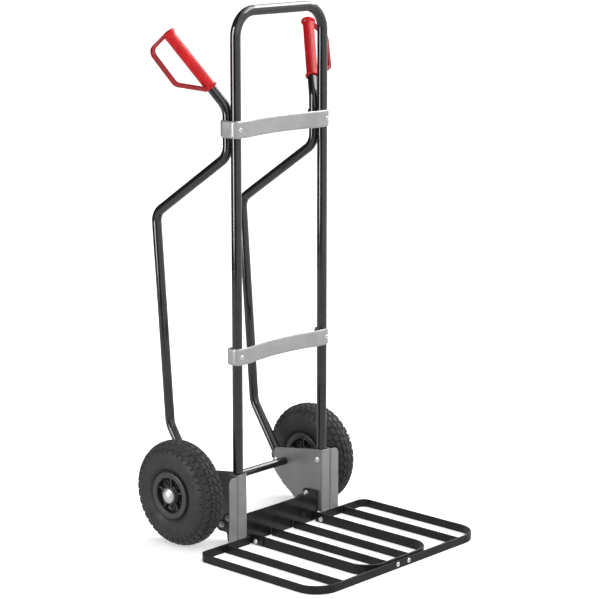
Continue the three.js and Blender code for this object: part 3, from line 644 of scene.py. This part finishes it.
def build_grip(name, sign):
    """One moulding: fluted sleeve, foot collar, head flange and a channelled knuckle guard."""
    foot, along, length = grip_axis(sign)
    out = to_side(GUARD_OUT, sign)
    out = (out - along * out.dot(along)).normalized()
    side = along.cross(out)
    profile = grip_profile(length)

    def fluted(i, turn):
        a, r = profile[i]
        if abs(r - GRIP_R) > 0.01 or not 12 <= a <= length - 16:
            return a, r
        return a, r - 0.35 * (0.5 - 0.5 * math.cos(2 * math.pi * GRIP_FLUTES * turn)) ** 2

    sleeve = turned(profile, GRIP_FLUTES * 6, foot, along, out, fluted)
    inside = 13.4
    rail = bent([(4.5, inside, 0), (60, GUARD_REACH, 0), (length - 8, GUARD_REACH - 3, 0),
                 (length - 3, inside, 0)], [18, 20], math.radians(6), 12)
    half_width, half_depth, groove, corner = GUARD_WIDTH / 2, GUARD_DEPTH / 2, 1.3, 1.6
    middle_x, middle_y = half_width - corner, half_depth - corner
    channel = [(1.6, half_depth), (0.9, half_depth - groove)]
    half = arc((middle_x, middle_y), corner, 0, 90, 3) + channel
    half += [(-a, b) for a, b in reversed(channel)]
    half += arc((-middle_x, middle_y), corner, 90, 180, 3)
    section = half + [(-a, -b) for a, b in half]
    guard = swept(rail, lambda i: section)
    placed = Matrix((along, out, side)).transposed().to_4x4()
    placed.translation = foot
    finished(f"grip_{name}", sleeve, "red_grip", sharp=50)
    # The guard takes the darker red copy: painted shade on the same moulding as the grip.
    piece(f"knuckle_guard_{name}", transformed(guard, placed), "painted_shade_guard_red", "frame", sharp=50)


build_main_frame()
for side_name, side_sign in SIDES:
    build_handle_tube(side_name, side_sign)
    build_grip(side_name, side_sign)


# -------------------------------------------------------- cross straps
def strap_path(strap, z):
    bend = UPRIGHT_R + CLEARANCE + STRAP_THICKNESS / 2
    front_y, side_x = -bend, UPRIGHT_X + bend
    bow_r = (STRAP_FLAT_X ** 2 + STRAP_SAG ** 2) / (2 * STRAP_SAG)
    centre_y = front_y + STRAP_SAG - bow_r
    bow_steps = 18
    half = []
    for i in range(bow_steps):
        x = STRAP_FLAT_X * i / bow_steps
        half.append(Vector((x, centre_y + math.sqrt(bow_r ** 2 - x ** 2), z)))
    hook_y = strap["back_y"] - STRAP_THICKNESS / 2
    half += [Vector((STRAP_FLAT_X, front_y, z)), Vector((side_x, front_y, z)),
             Vector((side_x, hook_y, z)), Vector((UPRIGHT_X - UPRIGHT_R / 2, hook_y, z))]
    corners = [Vector((-p.x, p.y, p.z)) for p in reversed(half[1:])] + half
    radii = [3 if abs(abs(c.x) - STRAP_FLAT_X) < 1 else 0 if abs(c.x) < side_x - 1
             else bend if c.y < 0 else strap["back_bend"] for c in corners[1:-1]]
    return bent(corners, radii, math.radians(6), 8)


def end_rounding(path, i, radius):
    """How far the corner has cut into the edge at this station of the path."""
    last = len(path) - 1
    reach = 0.0
    for j in range(min(i, last - i)):
        a, b = (j, j + 1) if i <= last - i else (last - j, last - j - 1)
        reach += (path[a] - path[b]).length
    if reach >= radius:
        return 0.0
    return radius - math.sqrt(max(0.0, radius ** 2 - (radius - reach) ** 2))


def refined_ends(path, reach, steps=7):
    """Adds close stations near both ends, so that rounded corners stay round."""
    def refine(points):
        direction = (points[1] - points[0]).normalized()
        fresh = [points[0] + direction * reach * (1 - math.cos(math.pi / 2 * i / steps))
                 for i in range(1, steps + 1)]
        kept = [p for p in points[1:] if (p - points[0]).length > reach + 0.5]
        return [points[0]] + fresh + kept
    path = refine(path)
    return refine(path[::-1])[::-1]


def rolled_band(height):
    """The strap's section: its outer face rolls back towards both edges."""
    inner, outer, lip = STRAP_THICKNESS / 2, -STRAP_THICKNESS / 2, 0.5
    top = height / 2
    edge = (inner - lip, top)
    front = curve_between(edge, (outer, top - STRAP_ROLL * 0.55), (outer, top - STRAP_ROLL), 6)
    upper = [(inner, top - lip), edge] + front
    return [(inner, -top + lip)] + upper + [(a, -b) for a, b in reversed(front)] + [(edge[0], -top)]


def build_strap(strap):
    node = f"{strap['name']}_cross_strap"
    z = working(box_centre(node)).z
    path = refined_ends(strap_path(strap, z), STRAP_END_R)

    def section_at(i):
        return rolled_band(STRAP_HEIGHT - 2 * end_rounding(path, i, STRAP_END_R))

    finished(node, swept(path, section_at), "silver_sheet", sharp=50)
    face_y = -UPRIGHT_R - CLEARANCE - STRAP_THICKNESS
    for name, sign in SIDES:
        build_rivet(f"{strap['name']}_strap_rivet_{name}", "frame", (sign * UPRIGHT_X, face_y, z), 5.6, 9)


def build_rivet(node, body, place, head_r, shank):
    """A blind rivet in a face that looks to -Y: domed ring head, drawn-in middle, shank, and a mandrel in
    black paint, painted shade for the dark of its hole.
    """
    hole_r, hole_depth, head, shank_r = 2.1, 1.9, 2.2, 3
    profile = [(-shank, 0), (-shank, shank_r), (0, shank_r), (0, head_r)]
    profile += curve_between((0, head_r), (head * 0.9, head_r - 0.4), (head, hole_r + 1), 8)
    profile += curve_between(profile[-1], (head, hole_r), (head - 0.5, hole_r), 4)
    profile += [(head - hole_depth, hole_r - 0.2), (head - hole_depth - 0.2, 0)]
    shaded_mandrel = [(-0.4, 0), (-0.4, 2), (0.5, 2), (0.9, 1.4), (1, 0)]
    proud = Vector(place) - Vector((0, 0.1, 0))
    spot = Matrix.Translation(proud) @ Matrix.Rotation(-math.pi / 2, 4, "Z")
    finished(node, transformed(turned(profile, 36), spot), "zinc_hardware")
    # The mandrel takes black paint: painted shade at the bottom of the rivet's hole.
    piece(f"{node}_mandrel", transformed(turned(shaded_mandrel, 24), spot), "black_sheet", body)


build_strap(UPPER_STRAP)
build_strap(LOWER_STRAP)


# -------------------------------------------------------- wheel brackets
def bracket_outline():
    """The side plate, from its lower front corner round its rounded rear end."""
    front = BRACKET_FRONT_Y + SHEET + 5
    outline = [(front, BRACKET_BOTTOM_Z), (55, BRACKET_BOTTOM_Z), (127, 79)]
    outline += curve_between(outline[-1], (157, 101), (155, 118), 10) + [(148.5, 152)]
    outline += curve_between(outline[-1], (147, 161), (139, 161.5), 8)
    return outline + [(18, 180), (front, BRACKET_TOP_Z - 0.4)]


def vertical_channel(path, low_at, high_at):
    """A folded sheet that stands between two heights, which are functions of the path's point."""
    def section_at(i):
        bottom, top = low_at(path[i]), high_at(path[i])
        middle = (bottom + top) / 2
        return [(a, b + middle) for a, b in rounded_rectangle(SHEET, top - bottom, SHEET_EDGE_R)]

    return swept(path, section_at)


def build_bracket(name, sign):
    back = BRACKET_FRONT_Y + SHEET
    middle = SHEET / 2
    inner, outer, front = BRACKET_INNER_X + middle, BRACKET_OUTER_X - middle, BRACKET_FRONT_Y + middle
    fold = bent([(inner, back + 5.2, 0), (inner, front, 0), (outer, front, 0),
                 (outer, OUTER_LEG_BACK_Y, 0)], [SHEET_BEND_R, SHEET_BEND_R], math.radians(9), 8)
    channel = vertical_channel(fold, lambda p: BRACKET_BOTTOM_Z, lambda p: BRACKET_TOP_Z)
    plate = slab(bracket_outline(), BRACKET_INNER_X, BRACKET_INNER_X + SHEET)
    # The bracket takes the darker silver copy, painted shade.
    finished(f"bracket_plate_{name}", mirrored(merged(plate, channel), sign), "shaded_bracket_sheet", bevel=0.6)

    leg = BRACKET_OUTER_X + 0.3 + middle
    edge = BRACKET_OUTER_X + 0.3 + FLANGE_WIDTH
    top = BRACKET_TOP_Z - SHEET
    fold = bent([(leg, OUTER_LEG_BACK_Y, 0), (leg, front, 0), (edge - FLANGE_CORNER_R, front, 0)],
                [SHEET_BEND_R], math.radians(9), 8)
    steps = 12
    for i in range(1, steps + 1):
        inset = FLANGE_CORNER_R * (1 - math.sin(math.pi / 2 * i / steps))
        fold.append(Vector((edge - inset, front, 0)))

    def rounded_top(point):
        over = point.x - (edge - FLANGE_CORNER_R)
        if over <= 0 or point.y > front + 1:
            return top
        return top - FLANGE_CORNER_R + math.sqrt(max(0.0, FLANGE_CORNER_R ** 2 - over ** 2))

    angle = vertical_channel(fold, lambda p: BRACKET_BOTTOM_Z, rounded_top)
    finished(f"bracket_flange_{name}", mirrored(angle, sign), "shaded_bracket_sheet")


def cross_bolt(head_x, nut_x, y, z):
    """Along X: domed head towards the middle, washer, hexagon nut and threaded tail."""
    head_r, head_tip, nut_r, nut_end = BOLT_R * 1.9, head_x - 4, BOLT_R * 1.75, nut_x + BOLT_R * 1.4
    profile = [(head_tip, 0)]
    profile += curve_between((head_tip, 0), (head_tip, head_r * 0.85), (head_x - 0.8, head_r), 8)
    profile += [(head_x, head_r), (head_x, BOLT_R)]
    x = nut_x
    while x < nut_end + 1.5:
        profile += [(x, BOLT_R - 0.35), (x + 0.5, BOLT_R)]
        x += 1.0
    profile += [(nut_end + 2, BOLT_R - 0.8), (nut_end + 2, 0)]
    bore, washer_r, washer_end = BOLT_R - 0.5, nut_r + 0.8, nut_x + 1
    washer = turned([(nut_x, bore), (nut_x, washer_r), (washer_end, washer_r), (washer_end, bore)], 36)
    nut = hexagon(washer_end, nut_end, nut_r)
    return moved(merged(turned(profile, 36), washer, nut), (0, y, z))


def build_bolts(name, sign):
    head_x = BRACKET_INNER_X - 0.1
    flange_face = BRACKET_OUTER_X + 0.3 + SHEET
    bolts = {
        f"bracket_bolt_{name}": (head_x, flange_face + 0.2, *BRACKET_BOLT),
        f"handle_bolt_{name}": (head_x, UPRIGHT_X + HANDLE_R + 0.2, *HANDLE_BOLT),
    }
    for end, y, z in TAB_BOLTS:
        bolts[f"foot_bolt_{end}_{name}"] = (TAB_OUTER_X - SHEET - 0.1, FOOT_OUTER_X + 0.2, y, z)
    for node, numbers in bolts.items():
        finished(node, mirrored(cross_bolt(*numbers), sign), "zinc_hardware", bevel=0.25)


for side_name, side_sign in SIDES:
    build_bracket(side_name, side_sign)
    build_bolts(side_name, side_sign)


# -------------------------------------------------------- black cross plate and feet
def tab_low(y):
    return BASE_BOTTOM_Z if y <= 41 else BASE_BOTTOM_Z + (y - 41)


def tab_high(y):
    if y <= 40:
        return BASE_TOP_Z - 2.5 * max(0.0, y - BASE_FRONT_Y) / 45
    if y <= 47:
        return 65 + 8.5 * math.sqrt(max(0.0, 1 - ((y - 40) / 7) ** 2))
    return 58 - (y - 47) * 12 / 23


def build_base_plate():
    middle = SHEET / 2
    x, front = TAB_OUTER_X - middle, BASE_FRONT_Y + middle
    rear_stations = [70, 60, 50, 47.2, 47, 46.4, 45.4, 43.8, 42, 41, 40, 30]
    path = [Vector((-x, y, 0)) for y in rear_stations]
    path += bent([(-x, 25, 0), (-x, front, 0), (x, front, 0), (x, 25, 0)], [5, 5], math.radians(9), 10)
    path += [Vector((x, y, 0)) for y in reversed(rear_stations)]
    shell = vertical_channel(path, lambda p: tab_low(p.y), lambda p: tab_high(p.y))
    finished("base_plate", shell, "black_sheet", sharp=50)

    back = BASE_FRONT_Y + SHEET
    tip, nose, top, low = HINGE_Y - 14, HINGE_Y - 23, HINGE_Z + 12, BASE_BOTTOM_Z + 1
    outline = [(back, low), (tip, low)] + curve_between((tip, low), (nose, low), (nose, HINGE_Z), 7)
    outline += curve_between(outline[-1], (nose, top), (tip, top), 7) + [(back, top)]
    for name, sign in SIDES:
        lug = mirrored(slab(outline, LUG_INNER_X, LUG_INNER_X + SHEET), sign)
        piece(f"hinge_lug_{name}", lug, "black_sheet", "frame", bevel=0.6)
        weld_y = BASE_FRONT_Y - 0.3
        beads = [weld_bead((sign * face_x, weld_y, low + 2), (sign * face_x, weld_y, top - 1))
                 for face_x in (LUG_INNER_X - 0.3, LUG_INNER_X + SHEET + 0.3)]
        piece(f"hinge_lug_weld_{name}", merged(*beads), "black_sheet", "frame")


def build_foot(name, sign):
    """A moulded block beside the side plate."""
    outline = [(18, 0.6), (18.6, 0), (37.4, 0), (38.1, 0.6), (41, 20), (44, 23), (69, 23),
               (76, 30), (76, 40), (61, 53), (46, 69), (44, 70), (20, 70), (18, 68)]
    body = slab(outline, BRACKET_INNER_X + SHEET + 0.3, FOOT_OUTER_X)
    ribs = [slab([(y, 2), (y + 2, 2), (y + 2, 22), (y, 22)], FOOT_OUTER_X - 1, FOOT_OUTER_X + 0.2)
            for y in (24, 31)]
    finished(f"support_foot_{name}", mirrored(merged(body, *ribs), sign), "foot_plastic", bevel=0.8)


build_base_plate()
for side_name, side_sign in SIDES:
    build_foot(side_name, side_sign)


# -------------------------------------------------------- wheels
def tread_groove(distance, half_width, slope):
    """1 in a groove this far from its middle line, 0 on the block, with a sloped wall."""
    return min(1.0, max(0.0, (half_width + slope - distance) / slope))


def tread_depth(x, radius, turn):
    """Depth share of the groove pattern: staggered rows of blocks with zigzag ring grooves."""
    pitch = turn * TREAD_PITCHES
    around = 2 * math.pi * WHEEL_R / TREAD_PITCHES
    zigzag = abs((pitch % 1) - 0.5) * 4 - 1
    reach = abs(x)
    rings = [tread_groove(abs(reach - middle - swing * zigzag), 0.8, 1.3)
             for middle, swing in TREAD_RINGS]
    row = sum(reach >= middle for middle, swing in TREAD_RINGS)
    shift, lean, half_width = TREAD_ROWS[row]
    if row and x > 0:
        shift += 0.25
    from_groove = abs(((pitch + shift + lean * x) % 1) - 0.5) * around
    across = tread_groove(from_groove, half_width, 1.5)
    fade = min(1.0, max(0.0, (radius - TREAD_START_R) / (TREAD_FULL_R - TREAD_START_R)))
    return max(across, *rings) * fade * fade * (3 - 2 * fade)


def tyre_profile():
    """Outer profile from the inner side's bead to the outer side's, then the air space back."""
    w, power, wide_r = TYRE_HALF_WIDTH, 2.4, 82
    face_x, lip_r = w - 10, BEAD_LIP_R
    half = [(w - 16, BEAD_R), (face_x, BEAD_R), (face_x, lip_r + 1.4)]
    half += curve_between(half[-1], (face_x + 0.6, lip_r + 4), (w - 6.6, lip_r + 6), 5)
    half += curve_between(half[-1], (w - 0.8, lip_r + 12), (w, wide_r), 8)
    steps = 42
    for i in range(1, steps + 1):
        angle = math.pi / 2 * i / steps
        half.append((w * math.cos(angle) ** (2 / power),
                     wide_r + (WHEEL_R - wide_r) * math.sin(angle) ** (2 / power)))
    outer = [(-x, r) for x, r in half] + [(x, r) for x, r in reversed(half[:-1])]
    r = WHEEL_R
    hollow = [(w - 17, 64), (w - 8.5, r - 53), (w - 9.5, r - 32), (w - 18, r - 17)]
    inner = hollow + [(-x, rr) for x, rr in reversed(hollow)]
    return outer, inner


def build_tyre(name, sign):
    outer, inner = tyre_profile()
    profile = outer + inner
    normals = []
    for i, (x, r) in enumerate(outer):
        before, after = outer[max(0, i - 1)], outer[min(len(outer) - 1, i + 1)]
        run = Vector((after[0] - before[0], after[1] - before[1])).normalized()
        normals.append((-run.y, run.x))

    def treaded(i, turn):
        x, r = profile[i]
        if i >= len(outer) or r < TREAD_START_R:
            return x, r
        depth = TREAD_DEPTH * tread_depth(x, r, turn)
        return x - normals[i][0] * depth, r - normals[i][1] * depth

    shape = turned(profile, TREAD_PITCHES * TREAD_STEPS, reshape=treaded)
    finished(f"tyre_{name}", moved(mirrored(shape, sign), WHEEL[name]), "tyre_rubber", sharp=60)


def rim_profile():
    """From the seat in the tyre's middle, down the ring's inside, out over its face to the lip."""
    seat, face_x, bead_x = BEAD_R - 0.3, TYRE_HALF_WIDTH - 1, TYRE_HALF_WIDTH - 4.2
    ring_in, lip_r = RING_INNER_R, BEAD_LIP_R
    profile = [(0.5, seat), (0.5, seat - 3.5), (20, seat - 7), (20, ring_in + 2), (22, ring_in),
               (face_x - 2, ring_in + 1)]
    profile += curve_between(profile[-1], (face_x, ring_in + 1.2), (face_x, ring_in + 4), 6)
    profile += [(face_x - 0.4, 50), (face_x, lip_r - 3)]
    profile += curve_between(profile[-1], (face_x, lip_r), (face_x - 2.2, lip_r), 6)
    profile += [(bead_x, lip_r), (bead_x, seat)]
    return profile


def web_profile():
    """Dished disc from the hub out to the ring, and a thin wall up the ring's inside; this piece is drawn
    darker than the ring as painted shade.
    """
    ring_in = RING_INNER_R
    profile = [(17, HUB_R + 1), (21, HUB_R + 1), (22, ring_in - 4)]
    profile += curve_between(profile[-1], (22.4, ring_in - 0.6), (26, ring_in - 0.5), 5)
    return profile + [(35.5, ring_in + 0.2), (35.5, ring_in + 0.9), (21, ring_in + 0.7),
                      (17, ring_in - 3)]


def build_rim(side, name, sign):
    """Half a rim: bead seat, rounded lip ring, dished web with five ribs and raised windows."""
    ribs = []
    for i in range(5):
        turn = Matrix.Rotation(2 * math.pi * i / 5, 4, "X")
        rib = loft([[Vector((x, share * half, z))
                     for x, share in ((20, -1), (32, -0.6), (32, 0.6), (20, 1))]
                    for z, half in ((HUB_R - 1, 4.2), (33, 3.2), (44, 4.0))])
        ribs.append(transformed(rib, turn))
        window_r = 32.5
        between = Matrix.Rotation(2 * math.pi * (i + 0.5) / 5, 4, "X")
        lip = turned([(22, 5.6), (25.5, 5.9), (26, 6.6), (25.5, 7.3), (22, 7.6)], 28)
        ribs.append(transformed(moved(lip, (0, 0, window_r)), between))
    boss = turned([(18, HUB_R + 0.4), (18, HUB_R + 3), (33, HUB_R + 2.4), (33.6, HUB_R + 1.8),
                   (33.6, HUB_R + 0.4)], 64)
    facing = sign if side == "outer" else -sign
    ring = mirrored(turned(rim_profile(), 96), facing)
    finished(f"rim_{side}_{name}", moved(ring, WHEEL[name]), "wheel_plastic", bevel=0.5)
    # The web takes the darker copy of the wheel plastic, painted shade in the rim's recess.
    web = mirrored(merged(turned(web_profile(), 96), boss, *ribs), facing)
    piece(f"shaded_rim_web_{side}_{name}", moved(web, WHEEL[name]), "shaded_rim_web", f"wheel_{name}", bevel=0.4)


def build_hub(name, sign):
    h, pocket, depth = HUB_HALF_LENGTH, 17.3, 11.3
    hub = turned([
        (-h, pocket), (-h, HUB_R - 1), (-h + 1, HUB_R), (h - 1, HUB_R), (h, HUB_R - 1), (h, pocket),
        (h - depth, pocket), (h - depth, 12), (depth - h, 12), (depth - h, pocket)], 64)
    centre = WHEEL[name]
    finished(f"hub_{name}", moved(mirrored(hub, sign), centre), "wheel_plastic", bevel=0.3)
    for side, start in (("outer", h - 11), ("inner", -h)):
        bore, rim_r, end = AXLE_R + 0.3, 17, start + 11
        bearing = turned([
            (start, bore), (start, 12.2), (start + 0.7, 12.6), (start + 0.7, 14.6), (start, 15),
            (start, rim_r - 0.5), (start + 0.5, rim_r), (end - 0.5, rim_r), (end, rim_r - 0.5),
            (end, 15), (end - 0.7, 14.6), (end - 0.7, 12.6), (end, 12.2), (end, bore)], 56)
        finished(f"bearing_{side}_{name}", moved(mirrored(bearing, sign), centre), "zinc_hardware")


def build_valve(name):
    low, high = box_mm(f"valve_{name}")
    half, radius = (high.x - low.x) / 2, (high.z - low.z) / 2
    profile = [(-half, 0), (-half, radius * 0.62), (-half + 0.4, radius * 0.7)]
    for i in range(5):
        x = -half + 0.8 + i * 0.8
        profile += [(x, radius * 0.7), (x + 0.4, radius * 0.62)]
    profile += [(0, radius * 0.72), (0.4, radius * 0.9), (half - 1, radius), (half, radius), (half, 0)]
    finished(f"valve_{name}", moved(turned(profile, 32), (low + high) / 2), "valve_rubber")


def reach_x(node):
    """Least and greatest distance of a node's box from the truck's middle plane."""
    low, high = box_mm(node)
    return sorted((abs(low.x), abs(high.x)))


def build_axle():
    half, chamfer = box_mm("axle")[1].x, 1
    centre = working(box_centre("axle"))
    rod = turned([(-half, 0), (-half, AXLE_R - chamfer), (chamfer - half, AXLE_R), (-120, AXLE_R),
                  (0, AXLE_R), (120, AXLE_R), (half - chamfer, AXLE_R), (half, AXLE_R - chamfer),
                  (half, 0)], 64)
    finished("axle", moved(rod, centre), "black_tube")
    for name, sign in SIDES:
        inner, outer = reach_x(f"axle_spacer_{name}")
        bore, r = AXLE_R + 0.3, AXLE_R + 3
        spacer = turned([(inner, bore), (inner, r - 0.6), (inner + 0.6, r), (outer - 0.6, r),
                         (outer, r - 0.6), (outer, bore)], 56)
        lift = (0, centre.y, centre.z)
        finished(f"axle_spacer_{name}", moved(mirrored(spacer, sign), lift), "black_tube")
        base, tip = reach_x(f"axle_cap_{name}")
        profile = [(base, bore), (base, CAP_R - 0.8), (base + 0.8, CAP_R), (base + 1.8, CAP_R)]
        profile += curve_between(profile[-1], (base + 3, CAP_R - 0.4), (base + 3.2, CAP_R - 2), 4)
        profile += curve_between(profile[-1], (tip - 0.4, CAP_R - 6), (tip, 0), 10)
        profile += [(base + 4, 0), (base + 4, bore)]
        finished(f"axle_cap_{name}", moved(mirrored(turned(profile, 64), sign), lift), "bright_cap")


build_axle()
for side_name, side_sign in SIDES:
    build_tyre(side_name, side_sign)
    build_rim("outer", side_name, side_sign)
    build_rim("inner", side_name, side_sign)
    build_hub(side_name, side_sign)
    build_valve(side_name)


# -------------------------------------------------------- folding toe frame
def build_toe():
    middle = BAR_THICKNESS / 2
    x, rear, front = TOE_HALF_WIDTH - middle, TOE_REAR_Y - middle, TOE_FRONT_Y + middle
    end_x = LUG_INNER_X + SHEET + 1.5
    z = OUTER_BAR_HEIGHT / 2
    outer = bent([(-end_x, rear, z), (-x, rear, z), (-x, front, z),
                  (x, front, z), (x, rear, z), (end_x, rear, z)], [20, 60, 60, 20])
    finished("toe_outer_loop", bar(outer, OUTER_BAR_HEIGHT), "toe_steel", sharp=50)
    z = INNER_BAR_HEIGHT / 2
    low, high = box_mm("toe_inner_loop")
    inner_front, inner_rear = low.y + middle, high.y
    inner = bent([(-LEG_X, inner_rear, z), (-LEG_X, inner_front, z),
                  (LEG_X, inner_front, z), (LEG_X, inner_rear, z)], [55, 55])
    finished("toe_inner_loop", bar(inner, INNER_BAR_HEIGHT), "toe_steel", sharp=50)
    for name, sign in SIDES:
        for kind in ("far", "mid"):
            node = f"toe_slat_{kind}_{name}"
            low, high = box_mm(node)
            centre_x, centre_z = (low.x + high.x) / 2, OUTER_BAR_HEIGHT / 2
            run = bent([(centre_x, high.y, centre_z), (centre_x, low.y, centre_z)], [])
            finished(node, bar(run, OUTER_BAR_HEIGHT), "toe_steel", sharp=50)
            ends = (low.y, high.y) if kind == "far" else (low.y,)
            beads = [weld_bead((x, y, 2), (x, y, OUTER_BAR_HEIGHT - 2)) for y in ends
                     for x in (centre_x - middle - 0.6, centre_x + middle + 0.6)]
            piece(f"toe_slat_weld_{kind}_{name}", merged(*beads), "toe_steel", "toe_frame")
        rivet_x, rivet_z = TOE_RIVET
        build_rivet(f"toe_rivet_{name}", "toe_frame", (sign * rivet_x, TOE_FRONT_Y, rivet_z), 5.8, 14)
        build_hinge_bolt(name, sign)


def build_hinge_bolt(name, sign):
    head_x = LUG_INNER_X + SHEET + 0.1
    nut_x = LEG_X - BAR_THICKNESS / 2 - 0.6
    head_r = 6
    profile = [(nut_x - 5.5, 0), (nut_x - 5.5, BOLT_R - 0.6), (nut_x - 5, BOLT_R),
               (head_x, BOLT_R), (head_x, head_r)]
    profile += curve_between((head_x + 0.6, head_r), (head_x + 4, head_r - 1.2), (head_x + 4.3, 2.2), 8)
    profile += [(head_x + 3.4, 2), (head_x + 3.2, 0)]
    shape = merged(turned(profile, 40), hexagon(nut_x - 4.8, nut_x, 6.5))
    placed = moved(mirrored(shape, sign), (0, HINGE_Y, HINGE_Z))
    finished(f"hinge_bolt_{name}", placed, "zinc_hardware", bevel=0.25)


build_toe()


# -------------------------------------------------------- floor, light and camera
TRUCK_MIDDLE = Vector((0, 0, 0.6))
BRIGHT_SIDE = (0.6, -0.75, 0.25)
BRIGHT_SIDE_STRENGTH = 1.45
DARK_SIDE_STRENGTH = 0.05
GROUND_SHARE = 0.8
BACKDROP_STRENGTH = 0.96
CAMERA_PLACE = (-3706.989, -3482.720, 1672.473)
CAMERA_HEADING = 0.826020
CAMERA_TIP = -0.209817
FOCAL_LENGTH = 2131.61
FRAME_WIDTH = 599
SENSOR_WIDTH = 36


def studio_sheet(name, material_name, outline, height, base, roughness, emission):
    """A flat glowing sheet that lies level just under the truck."""
    mesh = bpy.data.meshes.new(name)
    mesh.from_pydata(outline, [], [tuple(range(len(outline)))])
    sheet = bpy.data.objects.new(name, mesh)
    sheet.location.z = height
    bpy.context.scene.collection.objects.link(sheet)
    material = bpy.data.materials.new(material_name)
    material.use_nodes = True
    set_inputs(material.node_tree.nodes["Principled BSDF"], {
        "Base Color": (*grey(base), 1), "Roughness": roughness, "Specular IOR Level": 0,
        "Emission Color": (1, 1, 1, 1), "Emission Strength": emission})
    mesh.materials.append(material)
    return sheet


def build_floor():
    """The floor itself, and its lit part as glossy paint mirrors it."""
    half, glow_r, steps = 60, 3.4, 64
    square = [(-half, -half, 0), (half, -half, 0), (half, half, 0), (-half, half, 0)]
    floor = studio_sheet("studio_floor", "pale_floor", square, -0.0005, 0.88, 0.9, 0.5)
    floor.visible_glossy = False
    angles = [2 * math.pi * i / steps for i in range(steps)]
    ring = [(glow_r * math.cos(angle), glow_r * math.sin(angle), 0) for angle in angles]
    glow = studio_sheet("floor_glow", "floor_glow", ring, -0.0008, 0, 0.5, 0.9)
    for ray in ("camera", "diffuse", "shadow", "transmission"):
        setattr(glow, "visible_" + ray, False)


def panel(name, direction, distance, height, size, radiance, gloss_only=False):
    """A soft rectangular light that faces the truck's middle from a horizontal direction."""
    light = bpy.data.lights.new(name, "AREA")
    light.shape = "RECTANGLE"
    light.size, light.size_y = size
    light.energy = radiance * math.pi * size[0] * size[1]
    holder = bpy.data.objects.new(name, light)
    level = Vector((*direction, 0)).normalized()
    holder.location = level * distance + UP * height
    holder.rotation_mode = "QUATERNION"
    aim = TRUCK_MIDDLE - holder.location
    holder.rotation_quaternion = aim.to_track_quat("-Z", "Y")
    holder.visible_diffuse = not gloss_only
    bpy.context.scene.collection.objects.link(holder)


def build_world():
    """Even brightness behind the truck; in reflections and light, one side and the ground darker."""
    world = bpy.data.worlds.new("studio")
    bpy.context.scene.world = world
    world.use_nodes = True
    nodes, links = world.node_tree.nodes, world.node_tree.links
    background = nodes["Background"]
    place = nodes.new("ShaderNodeTexCoord")
    dot = nodes.new("ShaderNodeVectorMath")
    dot.operation = "DOT_PRODUCT"
    dot.inputs[1].default_value = BRIGHT_SIDE
    ramp = nodes.new("ShaderNodeMapRange")
    set_range(ramp, -0.1, 0.16, DARK_SIDE_STRENGTH, BRIGHT_SIDE_STRENGTH)
    path = nodes.new("ShaderNodeLightPath")
    mix = nodes.new("ShaderNodeMix")
    mix.inputs["B"].default_value = BACKDROP_STRENGTH
    split = nodes.new("ShaderNodeSeparateXYZ")
    below = nodes.new("ShaderNodeMapRange")
    set_range(below, -0.08, 0.04, GROUND_SHARE, 1)
    product = nodes.new("ShaderNodeMath")
    product.operation = "MULTIPLY"
    links.new(place.outputs["Generated"], dot.inputs[0])
    links.new(place.outputs["Generated"], split.inputs["Vector"])
    links.new(dot.outputs["Value"], ramp.inputs["Value"])
    links.new(split.outputs["Z"], below.inputs["Value"])
    links.new(ramp.outputs["Result"], product.inputs[0])
    links.new(below.outputs["Result"], product.inputs[1])
    links.new(product.outputs["Value"], mix.inputs["A"])
    links.new(path.outputs["Is Camera Ray"], mix.inputs["Factor"])
    links.new(mix.outputs["Result"], background.inputs["Strength"])
    background.inputs["Color"].default_value = (1, 1, 1, 1)


def build_camera():
    """A camera ahead of the load side and to the left, tipped down at the truck."""
    across, ahead = math.sin(CAMERA_HEADING), math.cos(CAMERA_HEADING)
    level = math.cos(CAMERA_TIP)
    forward = Vector((across * level, ahead * level, math.sin(CAMERA_TIP)))
    right = Vector((ahead, -across, 0))
    half_pixel = 0.5 / FOCAL_LENGTH
    aim = (forward - right * half_pixel + right.cross(forward) * half_pixel).normalized()
    data = bpy.data.cameras.new("camera")
    data.sensor_width = SENSOR_WIDTH
    data.lens = FOCAL_LENGTH * SENSOR_WIDTH / FRAME_WIDTH
    data.clip_end = 200
    camera = bpy.data.objects.new("camera", data)
    side = aim.cross(UP).normalized()
    turn = Matrix((side, side.cross(aim), -aim)).transposed().to_4x4()
    camera.matrix_world = Matrix.Translation(at(CAMERA_PLACE)) @ turn
    bpy.context.scene.collection.objects.link(camera)
    bpy.context.scene.camera = camera


build_floor()
build_world()
panel("strip_left", (-0.955, 0.297), 3.2, 1.45, (1.3, 2.8), 13, gloss_only=True)
panel("front_fill", (-0.15, -1), 4.5, 2.6, (3.0, 2.0), 1.0)
panel("left_fill", (-1, 0.1), 4.5, 2.6, (2.4, 2.0), 2.6)
panel("high_right", (0.73, -0.08), 3.0, 3.4, (3.0, 1.6), 8)
panel("overhead", (0.72, -0.7), 1.7, 3.7, (2.4, 2.0), 7, gloss_only=True)
build_camera()
bpy.context.scene.view_settings.view_transform = "Standard"
